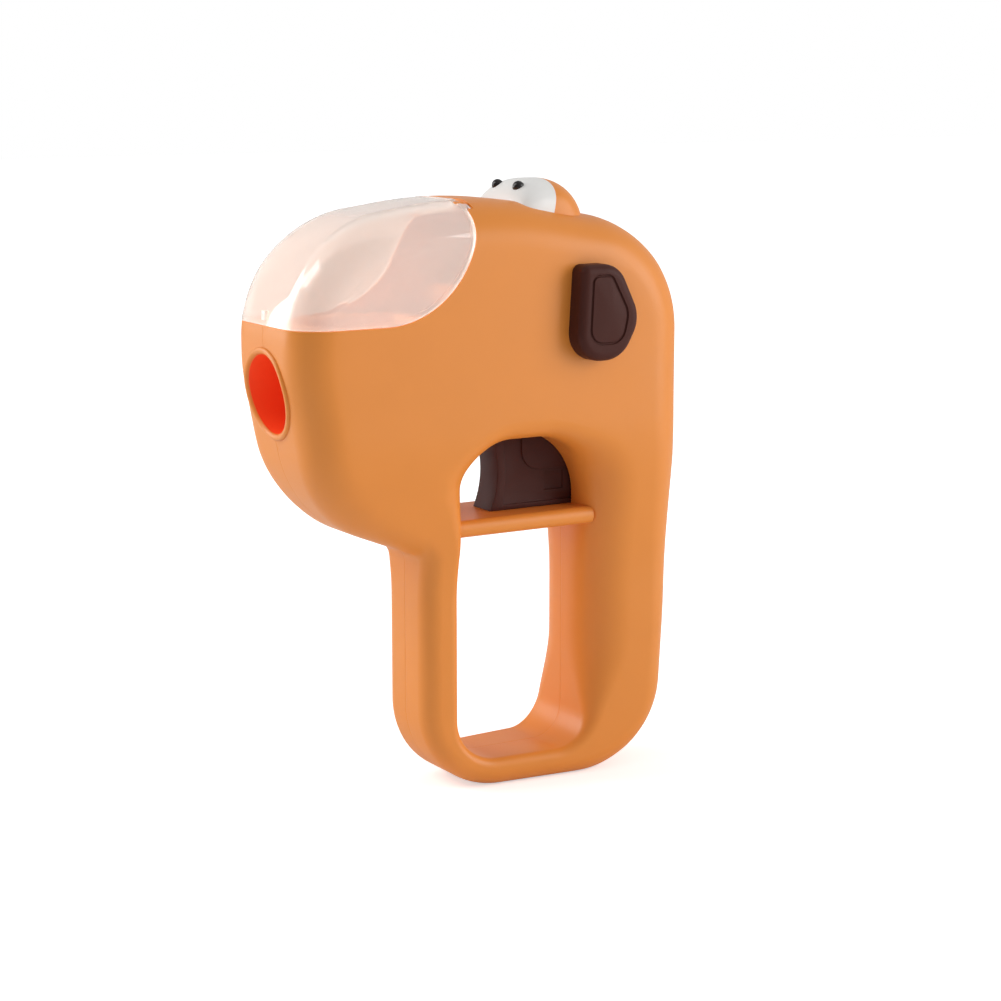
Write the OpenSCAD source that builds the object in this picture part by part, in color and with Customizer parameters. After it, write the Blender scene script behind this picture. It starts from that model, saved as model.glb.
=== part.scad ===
// Treat launcher shaped like a dog's head on a loop handle.
// The nose points to -X, the back of the head to +X and +Z is up.
// The origin lies under the handle, on the mid-plane between the two moulded halves.

/* [Head] */
// Overall width across the flanks
body_w = 45; // [43:0.5:48]
// Back of the head, behind the origin
back_x = 40.7; // [40:0.1:43]
// Tip of the nose, ahead of the origin
nose_x = 87.9; // [85:0.1:93]
// Height of the crown corner, before rounding
crown_z = 171.6; // [170:0.1:176]
// Crown corner, ahead of the origin
crown_x = 25.4; // [20:0.1:30]
// Radius of the crown
crown_r = 122; // [80:1:130]
// Nape corner below the crown corner
nape_drop = 12.6; // [10:0.1:16]
// Radius of the nape
nape_r = 34.3; // [31:0.1:38]
// Nose corner below the crown corner
snout_drop = 8.6; // [6:0.1:12]
// Radius above the nose
snout_r = 35.6; // [30:0.1:37]
// Height at which the face starts to lean back
face_z = 124; // [120:0.1:126]
// Radius of that bend
face_r = 52; // [30:0.1:70]
// Chin corner behind the nose
chin_back = 8.5; // [6:0.1:12]
// Height of the chin corner
chin_z = 84.6; // [82:0.1:88]
// Radius of the chin
chin_r = 34; // [28:0.1:38]
// Edge rounding of the head
head_edge = 12.8; // [10:0.1:13.5]
// Edge rounding of the nose
nose_edge = 15; // [12:0.1:16]

/* [Handle] */
// Front of the front post, ahead of the origin
post_x = 42.4; // [41:0.1:45]
// Thickness of the front post
post_t = 10.6; // [9.5:0.1:12]
// Thickness of the rear post, from the back of the head to the finger hole
rear_post_t = 30.4; // [28:0.1:32]
// Lean of the handle's back, from the waist down to the base
heel_in = 5.35; // [3:0.05:7]
// Thickness of the bottom bar
foot_t = 8.4; // [7.8:0.1:10]
// Height of the ceiling of the finger hole
arch_z = 102.8; // [100:0.1:105]
// Radius of the arch
arch_r = 19.5; // [17:0.1:20.5]
// Radius of the lower corners of the finger hole
loop_r = 12.7; // [10:0.1:14]
// Height of the corner between chin and front post
throat_z = 70; // [67:0.1:73]
// Fillet of that corner
throat_r = 4; // [2:0.1:6]
// Radius of the front lower corner
toe_r = 22.8; // [18:0.1:25]
// Radius of the rear lower corner
heel_r = 27; // [20:0.1:30]
// Height at which the back turns upright
waist_z = 93.4; // [88:0.1:100]
// Radius of that bend
waist_r = 60; // [40:1:100]
// Width of the handle above the origin
handle_w = 30.4; // [29:0.1:34]
// Half the handle's growth in width for each mm towards the back
handle_taper = 0.075; // [0.05:0.005:0.085]
// Edge rounding of the handle's back
handle_edge = 6.9; // [6:0.1:8]
// Share of the thin posts that each edge rounding takes
thin_share = 0.45; // [0.4:0.01:0.46]
// Edge rounding of the finger hole at the back
window_edge = 13.5; // [11:0.1:14]
// Edge rounding of the finger hole at the ceiling
ceiling_edge = 6; // [5:0.1:8]

/* [Moulding] */
// Wall of the two moulded halves
wall = 2.2; // [1.8:0.1:2.6]
// Radius of the screw bosses
boss_r = 4.2; // [3.9:0.1:4.8]
// Radius of the screw shanks
screw_r = 1.4; // [1.2:0.1:1.6]
// Radius of the screw heads
screw_head_r = 2.6; // [2.3:0.1:2.7]
// Height of the screw heads
screw_head_h = 1.8; // [1.4:0.1:2.4]
// Depth of the screw seats below the flank
screw_sink = 5; // [4:0.1:6]
// Length of screw in the second half
screw_grip = 8; // [6:0.1:9]
// Thickness of the ribs inside
rib_t = 2.5; // [2:0.1:3]
// Half the height of the ribs that hold the barrel
rib_h = 9; // [7:0.1:10]

/* [Lid] */
// Back edge of the lid, ahead of the origin
lid_back = 31.4; // [29:0.1:34]
// Radius of the lid's lower back corner
lid_corner_r = 28.6; // [22:0.1:30]
// Thickness of the lid
lid_t = 2; // [1.6:0.1:2.4]
// Gap around the lid
lid_gap = 0.25; // [0.2:0.05:0.5]
// Radius of the lid's knuckle
knuckle_r = 1.8; // [1.6:0.1:2.2]
// Length of the knuckle
knuckle_w = 20; // [14:0.5:20]
// Length of each hinge lug
lug_w = 2.8; // [2:0.1:3]
// Radius of the hinge pin
hinge_pin_r = 0.8; // [0.6:0.05:1]
// Width of the opening tab
tab_w = 2.4; // [1.6:0.1:5]
// Height of the opening tab
tab_h = 2.6; // [1.8:0.1:3]
// How far the opening tab stands out
tab_out = 0.6; // [0.4:0.1:1.5]

/* [Barrel and hopper] */
// Outer radius of the barrel
barrel_r = 13; // [12.5:0.1:13.5]
// Radius of the bore
bore_r = 11; // [10.5:0.1:11.4]
// Back end of the barrel, ahead of the origin
barrel_back = 14; // [12:0.1:16]
// How far the muzzle stands out of the face
muzzle_out = 0.5; // [0.3:0.1:1.2]
// Middle of the feed opening, ahead of the origin
feed_x = 54; // [52:0.1:56]
// Length of the feed opening
feed_l = 20; // [18:0.1:22]
// Width of the feed opening
feed_w = 16; // [14:0.1:17]
// Depth of the tray between the lid's edge and the barrel
tray_h = 6; // [5:0.1:7]
// Gap around the tray
tray_gap = 0.8; // [0.7:0.05:1]
// Thickness of the hopper
hopper_t = 1.5; // [1.2:0.1:1.8]
// Thickness of the cap behind the barrel
cap_t = 2; // [1.6:0.1:2.6]
// Depth of the cap's plug in the bore
cap_plug = 3; // [2:0.1:4]

/* [Plunger] */
// Front of the plunger at rest, ahead of the origin
plunger_x = 62; // [61:0.1:64]
// Length of the plunger's head
plunger_l = 8; // [7:0.1:9]
// Gap around the plunger's head
plunger_gap = 0.4; // [0.3:0.05:0.6]
// Radius of the rod
rod_r = 4; // [3.5:0.1:4.3]
// Width of the seal ring
ring_w = 2.4; // [2:0.1:3]
// Depth of the seal ring's groove
ring_deep = 1.4; // [1:0.1:1.8]
// Radius of the collar that the sear pulls
collar_r = 6.5; // [6:0.1:7]
// Thickness of the collar
collar_t = 4; // [3:0.1:5]
// Outer radius of the main spring
spring_r = 8; // [7:0.1:9]
// Thickness of the main spring's wire
spring_wire = 1.4; // [1:0.1:1.6]
// Turns of the main spring
spring_turns = 8; // [6:1:9]

/* [Trigger] */
// Width of the trigger
trigger_w = 10; // [9:0.1:11]
// Lower front corner of the trigger, ahead of the origin
trigger_x = 17.3; // [16:0.1:18.5]
// Length of the trigger's sole
trigger_l = 38.8; // [37:0.1:39.5]
// Travel of the trigger
stroke = 12.5; // [9:0.1:13]
// Height of the guard bar's top
bar_top = 79.9; // [78:0.1:81]
// Thickness of the guard bar
bar_t = 5; // [4:0.1:6]
// Width of the guard bar
bar_w = 28.4; // [26:0.1:30]
// Radius of the hollow in the trigger's face
face_hollow_r = 27.3; // [25:0.1:32]
// Depth of the sunk fields on the trigger's sides
panel_deep = 0.6; // [0.4:0.1:0.8]
// Gap beside and below the trigger
trigger_gap = 0.3; // [0.2:0.05:0.5]
// Radius of the trigger spring's bore
return_bore_r = 3.3; // [3:0.1:3.6]
// Thickness of the trigger spring's wire
return_wire = 0.8; // [0.6:0.1:1]
// Turns of the trigger spring
return_turns = 12; // [9:1:13]
// Thickness of the sear
sear_t = 4; // [3.4:0.1:4.4]
// Radius of the sear's pin
sear_pin_r = 1.2; // [1:0.1:1.4]
// Overlap of the sear's hook and the collar
sear_bite = 1.5; // [1:0.1:1.8]

/* [Face] */
// Height of the brow
brow_z = 175; // [174:0.1:178]
// Front of the eyes at their base, ahead of the origin
eye_x = 14; // [12:0.1:15]
// Depth of eyes and brow below the crown
eye_deep = 16; // [14:0.1:18]
// Where the eyes meet the brow, behind the origin
eye_split_x = 2; // [1:0.1:4]
// Back of the brow at its base, behind the origin
brow_x = 18; // [16:0.1:20]
// Width of eyes and brow
eye_w = 19; // [16:0.1:20]
// Edge rounding of eyes and brow
eye_edge = 5; // [4:0.1:5.5]
// How far the front of the eyes slopes back to the top
eye_slope = 2.7; // [2:0.1:4]
// How far the brow slopes forward to the top
brow_slope = 10.6; // [9:0.1:12]
// Radius over the eyes
eye_r = 6.5; // [5:0.1:7]
// Radius over the brow
brow_r = 7; // [5:0.1:8]
// Tilt of the pupils, forward from straight up
pupil_tilt = 45; // [30:1:55]
// Depth of the pupils' seats
pupil_deep = 1.2; // [0.8:0.1:2]
// Radius of a pupil
pupil_r = 1.5; // [1.2:0.1:1.8]
// Distance between the pupils
pupil_gap = 10.4; // [9:0.1:11]
// How far a pupil stands out
pupil_out = 0.3; // [0.2:0.1:0.6]
// Lower front corner of the ear, ahead of the origin
ear_x = 2.4; // [1:0.1:4]
// Height of the ear's lower edge
ear_z = 124.5; // [122:0.1:127]
// Length of the ear
ear_l = 21; // [19:0.1:22]
// Height of the ear
ear_h = 27.3; // [25:0.1:28]
// How far the ear stands out of the flank
ear_out = 6; // [4:0.1:7]
// Edge rounding of the ear
ear_edge = 2.4; // [1.5:0.1:3]
// Radius of the ear's peg
ear_peg_r = 3; // [2.4:0.1:3.5]
// Width of the groove around the ear's field
groove_w = 0.8; // [0.6:0.1:1.2]

/* [Hidden] */

$fn = 48;
// Press, running and loose fits, the overlap that keeps cuts clean, and a length past the whole part
seat = 0.02;
running = 0.05;
loose = 0.3;
over = 1;
far = 300;
// Smallest edge rounding inside the walls, gap under the barrel and tray, gap beside the hinge lugs
least_r = 0.5;
roof_gap = 0.5;
lug_gap = 0.2;
chord = 5.5;
straight_step = 16;
orange = [0.90, 0.56, 0.28];
brown = [0.30, 0.20, 0.18];
steel = [0.70, 0.71, 0.73];
white = [0.95, 0.94, 0.92];
black = [0.13, 0.12, 0.12];
clear = [0.95, 0.90, 0.88, 0.45];

base_back = back_x - heel_in;
grip_back = back_x - rear_post_t;
grip_front = post_x - post_t;
flank = body_w / 2;
thin_edge = thin_share * min(post_t, foot_t);
ceiling_z = arch_z + wall;
bore_z = ceiling_z + roof_gap + barrel_r;
barrel_top = bore_z + barrel_r;
lid_z = barrel_top + tray_h;
neck_low = 0.8 * throat_z;
neck_high = arch_z + throat_r;
trigger_back = trigger_l - trigger_x;
spring_seat_x = trigger_back + stroke + over;
return_z = mix(bar_top, ceiling_z, 1 / 3);
return_start = 3.5;
sole_z = bar_top + 2 * running;
// Collar ahead of the trigger's back, pivot behind the collar and above the ceiling, sear's foot below the pivot
collar_in = 11.5;
pivot_back = 7.5;
pivot_up = 1.5;
sear_foot = 1.6;
sear_wire = 0.5;
sear_turns = 4;
collar_x = trigger_back - collar_in;
pivot = [collar_x + pivot_back, ceiling_z + pivot_up];
sear_low = pivot.y - sear_foot;
sear_floor = (return_z + return_bore_r + sear_low) / 2;
slot_half = trigger_w / 2 + trigger_gap;

// Helpers on numbers and vectors
function mix(a, b, t) = a + (b - a) * t;
function smooth(low, high, v) = let (t = max(0, min(1, (v - low) / (high - low)))) t * t * (3 - 2 * t);
function unit(v) = v / norm(v);

// Outline with rounded corners, as [point, outward normal], from [corner, radius] in counter-clockwise order
function rounded(corners) = [
    for (i = [0:len(corners) - 1])
        let (
            count = len(corners),
            at = corners[i][0],
            r = corners[i][1],
            before = corners[(i + count - 1) % count][0],
            after = corners[(i + 1) % count][0],
            a = unit(before - at),
            b = unit(after - at),
            opening = acos(a * b),
            side = sign(cross(at - before, after - at)),
            centre = at + unit(a + b) * r / sin(opening / 2),
            first = at + a * r / tan(opening / 2) - centre,
            start = atan2(first.y, first.x),
            sweep = side * (180 - opening),
            steps = max(2, ceil(r * abs(sweep) * PI / 180 / chord))
        )
        for (k = [0:steps])
            let (t = start + sweep * k / steps, d = [cos(t), sin(t)])
            [centre + r * d, side * d]
];

// The same outline with points added along its long straight runs
function divided(ring) = [
    for (i = [0:len(ring) - 1])
        let (a = ring[i], b = ring[(i + 1) % len(ring)], steps = max(1, round(norm(b[0] - a[0]) / straight_step)))
        for (k = [0:steps - 1])
            [mix(a[0], b[0], k / steps), unit(mix(a[1], b[1], k / steps))]
];

// Where the ray from a middle point towards d leaves a ring
function on_ring(ring, middle, d) = [
    for (i = [0:len(ring) - 1])
        let (
            p = ring[i],
            q = ring[(i + 1) % len(ring)],
            a = p[0] - middle,
            b = q[0] - middle,
            ca = cross(d, a),
            cb = cross(d, b)
        )
        if (ca <= 0 && cb > 0 && (a + b) * d > 0)
            let (t = ca / (ca - cb)) [mix(p[0], q[0], t), unit(mix(p[1], q[1], t))]
][0];

// Height of a ring's upper side at x, and x of its front side at height z
function top_at(ring, x) = max([
    for (i = [0:len(ring) - 1])
        let (a = ring[i][0], b = ring[(i + 1) % len(ring)][0])
        if ((a.x - x) * (b.x - x) <= 0 && a.x != b.x) mix(a.y, b.y, (x - a.x) / (b.x - a.x))
]);
function front_at(ring, z) = min([
    for (i = [0:len(ring) - 1])
        let (a = ring[i][0], b = ring[(i + 1) % len(ring)][0])
        if ((a.y - z) * (b.y - z) <= 0 && a.y != b.y) mix(a.x, b.x, (z - a.y) / (b.y - a.y))
]);

// Side outline of the housing and of its finger hole, paired point by point
housing = divided(rounded([
    [[base_back, 0], heel_r],
    [[back_x, waist_z], waist_r],
    [[back_x, crown_z - nape_drop], nape_r],
    [[-crown_x, crown_z], crown_r],
    [[-nose_x, crown_z - snout_drop], snout_r],
    [[-nose_x, face_z], face_r],
    [[chin_back - nose_x, chin_z], chin_r],
    [[-post_x, throat_z], throat_r],
    [[-post_x, 0], toe_r]
]));
hole_outline = rounded([
    [[grip_back, foot_t], loop_r],
    [[grip_back, arch_z], arch_r],
    [[-grip_front, arch_z], arch_r],
    [[-grip_front, foot_t], loop_r]
]);
hole_x = (grip_back - grip_front) / 2;
hole = [
    for (p = housing)
        let (middle = [hole_x, max(foot_t + loop_r, min(arch_z - arch_r, p[0].y))])
        on_ring(hole_outline, middle, p[0] - middle)
];

// Half width of the housing, and rounding of its outer edge and of the finger hole's edge
function half_w(p) = mix(handle_w / 2 + handle_taper * p.x, flank, smooth(neck_low, neck_high, p.y));
function outer_edge(p) =
    let (
        top = arch_z + 2 * throat_r,
        head = mix(handle_edge, head_edge, smooth(bar_top / 2, top, p.y)),
        nose = (nose_edge - head_edge) * smooth(-crown_x, -0.8 * nose_x, p.x) * smooth(throat_z, top, p.y),
        rear = smooth(grip_back - thin_edge, grip_back + 2 * handle_edge, p.x),
        full = max(rear, smooth(throat_z - throat_r, throat_z + 4 * throat_r, p.y))
    )
    mix(thin_edge, head + nose, full);
function hole_edge(p) =
    let (
        wide = mix(window_edge, ceiling_edge, smooth(arch_z - 0.7 * arch_r, arch_z, p.y)),
        rear = smooth(grip_back - loop_r, grip_back, p.x) * smooth(foot_t, foot_t + 2.5 * loop_r, p.y),
        full = max(rear, smooth(throat_z, arch_z - 0.4 * arch_r, p.y))
    )
    mix(thin_edge, wide, full);

// Points of a ring at depth t below the surface, at an angle up its edge rounding; side is -1 outside, 1 in the hole
function inset_points(ring, side, t, angle) = [
    for (p = ring)
        let (r = max((side < 0 ? outer_edge(p[0]) : hole_edge(p[0])) - t, least_r))
        p[0] + side * p[1] * (t + r * (1 - cos(angle)))
];
function edge_ring(ring, side, t, angle) =
    let (flat = inset_points(ring, side, t, angle))
    [
        for (i = [0:len(ring) - 1])
            let (r = max((side < 0 ? outer_edge(ring[i][0]) : hole_edge(ring[i][0])) - t, least_r), q = flat[i])
            [q.x, -(half_w(q) - t - r * (1 - sin(angle))), q.y]
    ];
function seam_ring(ring, side, t) = [for (p = ring) let (q = p[0] + side * p[1] * t) [q.x, 0, q.y]];
function flank_ring(t, share) =
    let (outer = inset_points(housing, -1, t, 90), inner = inset_points(hole, 1, t, 90))
    [for (i = [0:len(housing) - 1]) let (q = mix(outer[i], inner[i], share)) [q.x, t - half_w(q), q.y]];

// Solid between rings of equal count: a closed loop of rings, or a stack with both ends capped
function side_faces(count, a, b) = [
    for (i = [0:count - 1])
        let (j = (i + 1) % count)
        each [[a + i, b + i, b + j], [a + i, b + j, a + j]]
];
module looped(rings) {
    count = len(rings[0]);
    polyhedron(
        [for (ring = rings) each ring],
        [for (k = [0:len(rings) - 1]) each side_faces(count, k * count, (k + 1) % len(rings) * count)]
    );
}
module stacked(rings) {
    count = len(rings[0]);
    last = (len(rings) - 1) * count;
    polyhedron(
        [for (ring = rings) each ring],
        [
            [for (i = [count - 1:-1:0]) i],
            for (k = [0:len(rings) - 2]) each side_faces(count, (k + 1) * count, k * count),
            [for (i = [0:count - 1]) last + i]
        ]
    );
}

// One hollow half of the housing, on the -Y side
module half_housing() {
    looped([
        seam_ring(housing, -1, 0),
        for (angle = [0:18:90]) edge_ring(housing, -1, 0, angle),
        for (share = [1 / 3, 2 / 3]) flank_ring(0, share),
        for (angle = [90:-30:0]) edge_ring(hole, 1, 0, angle),
        seam_ring(hole, 1, 0),
        seam_ring(hole, 1, wall),
        for (angle = [0:45:90]) edge_ring(hole, 1, wall, angle),
        flank_ring(wall, 1 / 2),
        for (angle = [90:-30:0]) edge_ring(housing, -1, wall, angle),
        seam_ring(housing, -1, wall)
    ]);
}

// Solid front of the head above a height, at depth t below the surface, to shape what follows its skin
module head_front(t, low) {
    arc = [for (p = housing) if (p[0].x < -lid_back / 2 && p[0].y > low) p];
    corner = [0, low - tray_h];
    stacked([
        for (side = [-1, 1], angle = side < 0 ? [90, 72, 54, 36, 18, 0] : [0, 18, 36, 54, 72, 90])
            let (flat = edge_ring(arc, -1, t, angle))
            [for (q = flat) [q.x, -side * q.y, q.z], [corner.x, -side * flat[0].y, corner.y]]
    ]);
}

// Side region of the lid, grown by a gap
module lid_region(grow) {
    r = lid_corner_r + grow;
    edge = [grow - lid_back, lid_z - grow];
    difference() {
        translate([edge.x - far, edge.y]) square(far);
        difference() {
            translate([edge.x - r, edge.y - over]) square(r + over);
            translate([edge.x - r, edge.y + r]) circle(r, $fn = 96);
        }
    }
}
module across(w) { rotate([90, 0, 0]) linear_extrude(w, center = true) children(); }
module along_x(x, z) { translate([x, 0, z]) rotate([0, 90, 0]) children(); }
module along_y(x, y, z) { translate([x, y, z]) rotate([-90, 0, 0]) children(); }

// Places of the screws on the side outline: nape, lid corner, chin, grip and heel
screws = [
    [back_x - 0.46 * rear_post_t, 0.814 * crown_z],
    [-0.68 * lid_back, lid_z + 0.7 * boss_r],
    [-1.45 * post_x, 1.083 * chin_z],
    [back_x - 0.46 * rear_post_t, 0.89 * throat_z],
    [base_back - 1.37 * foot_t, 3 * foot_t]
];
hinge = [-lid_back, top_at(housing, -lid_back) - knuckle_r];
lug_y = knuckle_w / 2 + lug_gap;
relief_y = flank - head_edge + sqrt(knuckle_r * (2 * head_edge - knuckle_r)) + loose;
lid_low = lid_z - lid_corner_r / 2;
stem_half = eye_w / 3;

module screw_bosses() {
    for (p = screws) along_y(p.x, wall / 2 - half_w(p), p.y) cylinder(h = half_w(p) - wall / 2, r = boss_r);
}
module barrel_ribs() {
    depth = flank - wall / 2;
    difference() {
        for (x = [2.4 * rib_t - post_x, -barrel_back - rib_t - cap_t])
            translate([x, -depth, bore_z - rib_h]) cube([rib_t, depth - rod_r * 2, rib_h * 2]);
        along_x(-far / 2, bore_z) cylinder(h = far, r = barrel_r + seat);
    }
    translate([cap_t - barrel_back, -depth, bore_z - rib_h])
        cube([rib_t, depth - collar_r - over, rib_h * 2]);
}
module guard_bar() {
    r = bar_t / 2;
    reach = grip_front + grip_back + wall * 1.5;
    y = bar_w / 2 - r;
    translate([-grip_front - wall / 2, -y, bar_top - bar_t]) cube([reach, y, bar_t]);
    translate([0, -y, 0]) along_x(-grip_front - wall / 2, bar_top - r) cylinder(h = reach, r = r);
}
module hinge_lug() {
    back = 3 * knuckle_r;
    top = top_at(housing, back - lid_back) - wall / 2;
    along_y(hinge.x, -lug_y - lug_w, hinge.y) cylinder(h = lug_w, r = knuckle_r - lug_gap);
    translate([hinge.x, -lug_y - lug_w, hinge.y - knuckle_r + lug_gap])
        cube([back, lug_w, top - hinge.y + knuckle_r - lug_gap]);
}
module spring_seat() {
    half = return_bore_r + 2 * over;
    translate([spring_seat_x, -trigger_w / 2 - over, return_z - half])
        cube([back_x - wall * 0.8 - spring_seat_x, trigger_w / 2 + over, 2 * half]);
}
module half_shell() {
    difference() {
        union() {
            difference() {
                half_housing();
                translate([sole_front - trigger_gap, -slot_half, bar_top])
                    cube([back_x - rear_post_t / 2 - sole_front, slot_half + over, ceiling_z + over - bar_top]);
                across(far) lid_region(lid_gap);
                translate([hinge.x - over, -relief_y, hinge.y - knuckle_r * 2])
                    cube([knuckle_r + over + loose, relief_y + over, far]);
                translate([stem_front, -stem_half, crown_z - 1.5 * eye_deep])
                    cube([stem_back - stem_front, stem_half + over, far]);
            }
            screw_bosses();
            barrel_ribs();
            guard_bar();
            hinge_lug();
            spring_seat();
        }
        along_x(-far, bore_z) cylinder(h = far - 1.25 * post_x, r = barrel_r + seat);
        along_y(hinge.x, -far / 2, hinge.y) cylinder(h = far, r = hinge_pin_r + seat);
        along_y(ear_peg.x, -far, ear_peg.y) cylinder(h = far - over, r = ear_peg_r + seat);
    }
}
sole_front = -0.9 * trigger_x;
stem_front = -0.7 * eye_x;
stem_back = 0.6 * brow_x;
ear_peg = [ear_l / 2 - ear_x, ear_z + ear_h / 2];

// The half towards -Y, with blind pilot holes for the screws
module left_shell() {
    color(orange) difference() {
        half_shell();
        for (p = screws) along_y(p.x, -screw_grip - over, p.y) cylinder(h = far, r = screw_r + running);
    }
}

// The half towards +Y, with the screws' seats
module right_shell() {
    color(orange) difference() {
        mirror([0, 1, 0]) half_shell();
        for (p = screws) {
            along_y(p.x, -over, p.y) cylinder(h = far, r = screw_r + lug_gap);
            along_y(p.x, half_w(p) - screw_sink, p.y) cylinder(h = far, r = screw_head_r + loose);
        }
    }
}

// Pan-head screws that close the housing
module shell_screws() {
    color(steel) for (p = screws) {
        floor_y = half_w(p) - screw_sink;
        along_y(p.x, floor_y, p.y) cylinder(h = screw_head_h, r = screw_head_r);
        along_y(p.x, -screw_grip, p.y) cylinder(h = floor_y + screw_grip + screw_head_h / 2, r = screw_r);
    }
}

// Clear lid over the hopper, hinged at its back edge
module lid() {
    color(clear) difference() {
        union() {
            intersection() {
                difference() {
                    head_front(0, lid_low);
                    head_front(lid_t, lid_low);
                }
                across(far) lid_region(0);
            }
            along_y(hinge.x, -knuckle_w / 2, hinge.y) cylinder(h = knuckle_w, r = knuckle_r);
        }
        along_y(hinge.x, -far / 2, hinge.y) cylinder(h = far, r = hinge_pin_r + running);
        for (side = [-1, 1])
            translate([hinge.x - knuckle_r - loose, side * (lug_y + lug_w / 2) - lug_w / 2 - lug_gap, 0])
                cube([far, lug_w + 2 * lug_gap, far]);
        lid_tab_block(seat);
    }
}
module lid_tab_block(grow) {
    x = front_at(housing, lid_z + tab_h) - tab_out;
    translate([x, -tab_w / 2 - grow, lid_z + tab_h / 2 - grow])
        cube([tab_out + lid_t / 2 + grow, tab_w + 2 * grow, tab_h + 2 * grow]);
}

// Pin of the lid's hinge
module lid_pin() {
    color(steel) along_y(hinge.x, -lug_y - lug_w, hinge.y) cylinder(h = 2 * (lug_y + lug_w), r = hinge_pin_r);
}

// Small tab at the lid's front edge, to lift it by
module lid_tab() { color(clear) lid_tab_block(0); }

// Tray under the lid with a funnel down to the barrel's feed opening
module funnel(grow, low, high) {
    tray_back = lid_back + tray_h + 2 * over;
    tray_front = nose_x - nose_edge + over;
    stacked([
        for (level = [[low, feed_x + feed_l / 2 + grow, feed_x - feed_l / 2 - grow, feed_w / 2 + grow],
                      [high, tray_front + grow, tray_back - grow, 0.55 * flank + grow]])
            [[-level[1], -level[3], level[0]], [-level[1], level[3], level[0]],
             [-level[2], level[3], level[0]], [-level[2], -level[3], level[0]]]
    ]);
}
module hopper() {
    top = lid_z - roof_gap;
    low = bore_z + barrel_r / 2;
    color(orange) difference() {
        union() {
            intersection() {
                head_front(wall + tray_gap, lid_low);
                translate([-far, -far / 2, top - hopper_t]) cube([far - lid_back - 2 * lid_t, far, hopper_t]);
            }
            funnel(hopper_t, low, top);
        }
        funnel(0, low - running, top + running);
        along_x(-far / 2, bore_z) cylinder(h = far, r = barrel_r + seat);
    }
}

// Barrel, open at the face and cut open under the hopper
module barrel() {
    color(orange) difference() {
        intersection() {
            along_x(-nose_x - 2 * over, bore_z) cylinder(h = nose_x + 2 * over - barrel_back, r = barrel_r, $fn = 96);
            head_front(-muzzle_out, bore_z - 1.6 * barrel_r);
        }
        along_x(-far / 2, bore_z) cylinder(h = far, r = bore_r, $fn = 96);
        translate([-feed_x - feed_l / 2, -feed_w / 2, bore_z]) cube([feed_l, feed_w, far]);
    }
}

// Cap that closes the barrel's back end and guides the rod
module barrel_cap() {
    color(orange) along_x(-barrel_back, bore_z) difference() {
        union() {
            cylinder(h = cap_t, r = barrel_r);
            translate([0, 0, -cap_plug]) cylinder(h = cap_plug + over, r = bore_r - seat);
        }
        translate([0, 0, -far / 2]) cylinder(h = far, r = rod_r + running);
    }
}

// Plunger head with its rod
head_r = bore_r - plunger_gap;
ring_x = plunger_l / 2 - ring_w / 2;
chamfer = 2 * plunger_gap;
module plunger() {
    color(brown) along_x(-plunger_x, bore_z) rotate_extrude() polygon([
        [0, 0], [head_r - chamfer, 0], [head_r, chamfer],
        [head_r, ring_x], [head_r - ring_deep, ring_x],
        [head_r - ring_deep, ring_x + ring_w], [head_r, ring_x + ring_w],
        [head_r, plunger_l], [rod_r, plunger_l],
        [rod_r, plunger_x + collar_x + collar_t], [0, plunger_x + collar_x + collar_t]
    ]);
}
module plunger_ring() {
    color(black) along_x(-plunger_x, bore_z) translate([0, 0, ring_x]) difference() {
        cylinder(h = ring_w, r = bore_r - running);
        translate([0, 0, -over]) cylinder(h = ring_w + 2 * over, r = head_r - ring_deep + seat);
    }
}
module rod_collar() {
    color(steel) along_x(collar_x, bore_z) difference() {
        cylinder(h = collar_t, r = collar_r);
        translate([0, 0, -over]) cylinder(h = collar_t + 2 * over, r = rod_r + seat);
    }
}

// Wire spring along +Z: a tube of a few sides, with so many rings a turn
coil_sides = 6;
coil_steps = 8;
function coil_at(r, length, turns, wire, t) =
    [r * cos(360 * turns * t), r * sin(360 * turns * t), mix(wire / 2, length - wire / 2, t)];
module coil(outer, wire, length, turns) {
    r = outer - wire / 2;
    steps = turns * coil_steps;
    path = [for (i = [0:steps]) coil_at(r, length, turns, wire, i / steps)];
    half = coil_steps / 2 + 1;
    least = min([for (i = [0:steps - half], j = [i + half:min(steps, i + 3 * half)]) norm(path[i] - path[j])]);
    echo(str("least gap of coil: ", least - wire));
    stacked([
        for (i = [0:steps])
            let (
                turn = 360 / coil_steps * i,
                out = [cos(turn), sin(turn), 0],
                around = r * 2 * PI * turns,
                way = unit([-around * sin(turn), around * cos(turn), length - wire]),
                up = cross(out, way)
            )
            [
                for (k = [0:coil_sides - 1])
                    let (t = 360 / coil_sides * k) path[i] + wire / 2 * (out * cos(t) + up * sin(t))
            ]
    ]);
}
module main_spring() {
    start = plunger_l - plunger_x;
    color(steel) along_x(start + running, bore_z)
        coil(spring_r, spring_wire, -barrel_back - cap_plug - start - 2 * running, spring_turns);
}
module trigger_spring() {
    color(steel) along_x(return_start + running, return_z)
        coil(return_bore_r - return_wire / 2, return_wire, spring_seat_x - return_start - 2 * running, return_turns);
}
module sear_spring() {
    color(steel) translate([collar_x - over, 0, sear_floor + running])
        coil(sear_foot, sear_wire, sear_low - sear_floor - 2 * running, sear_turns);
}

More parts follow.
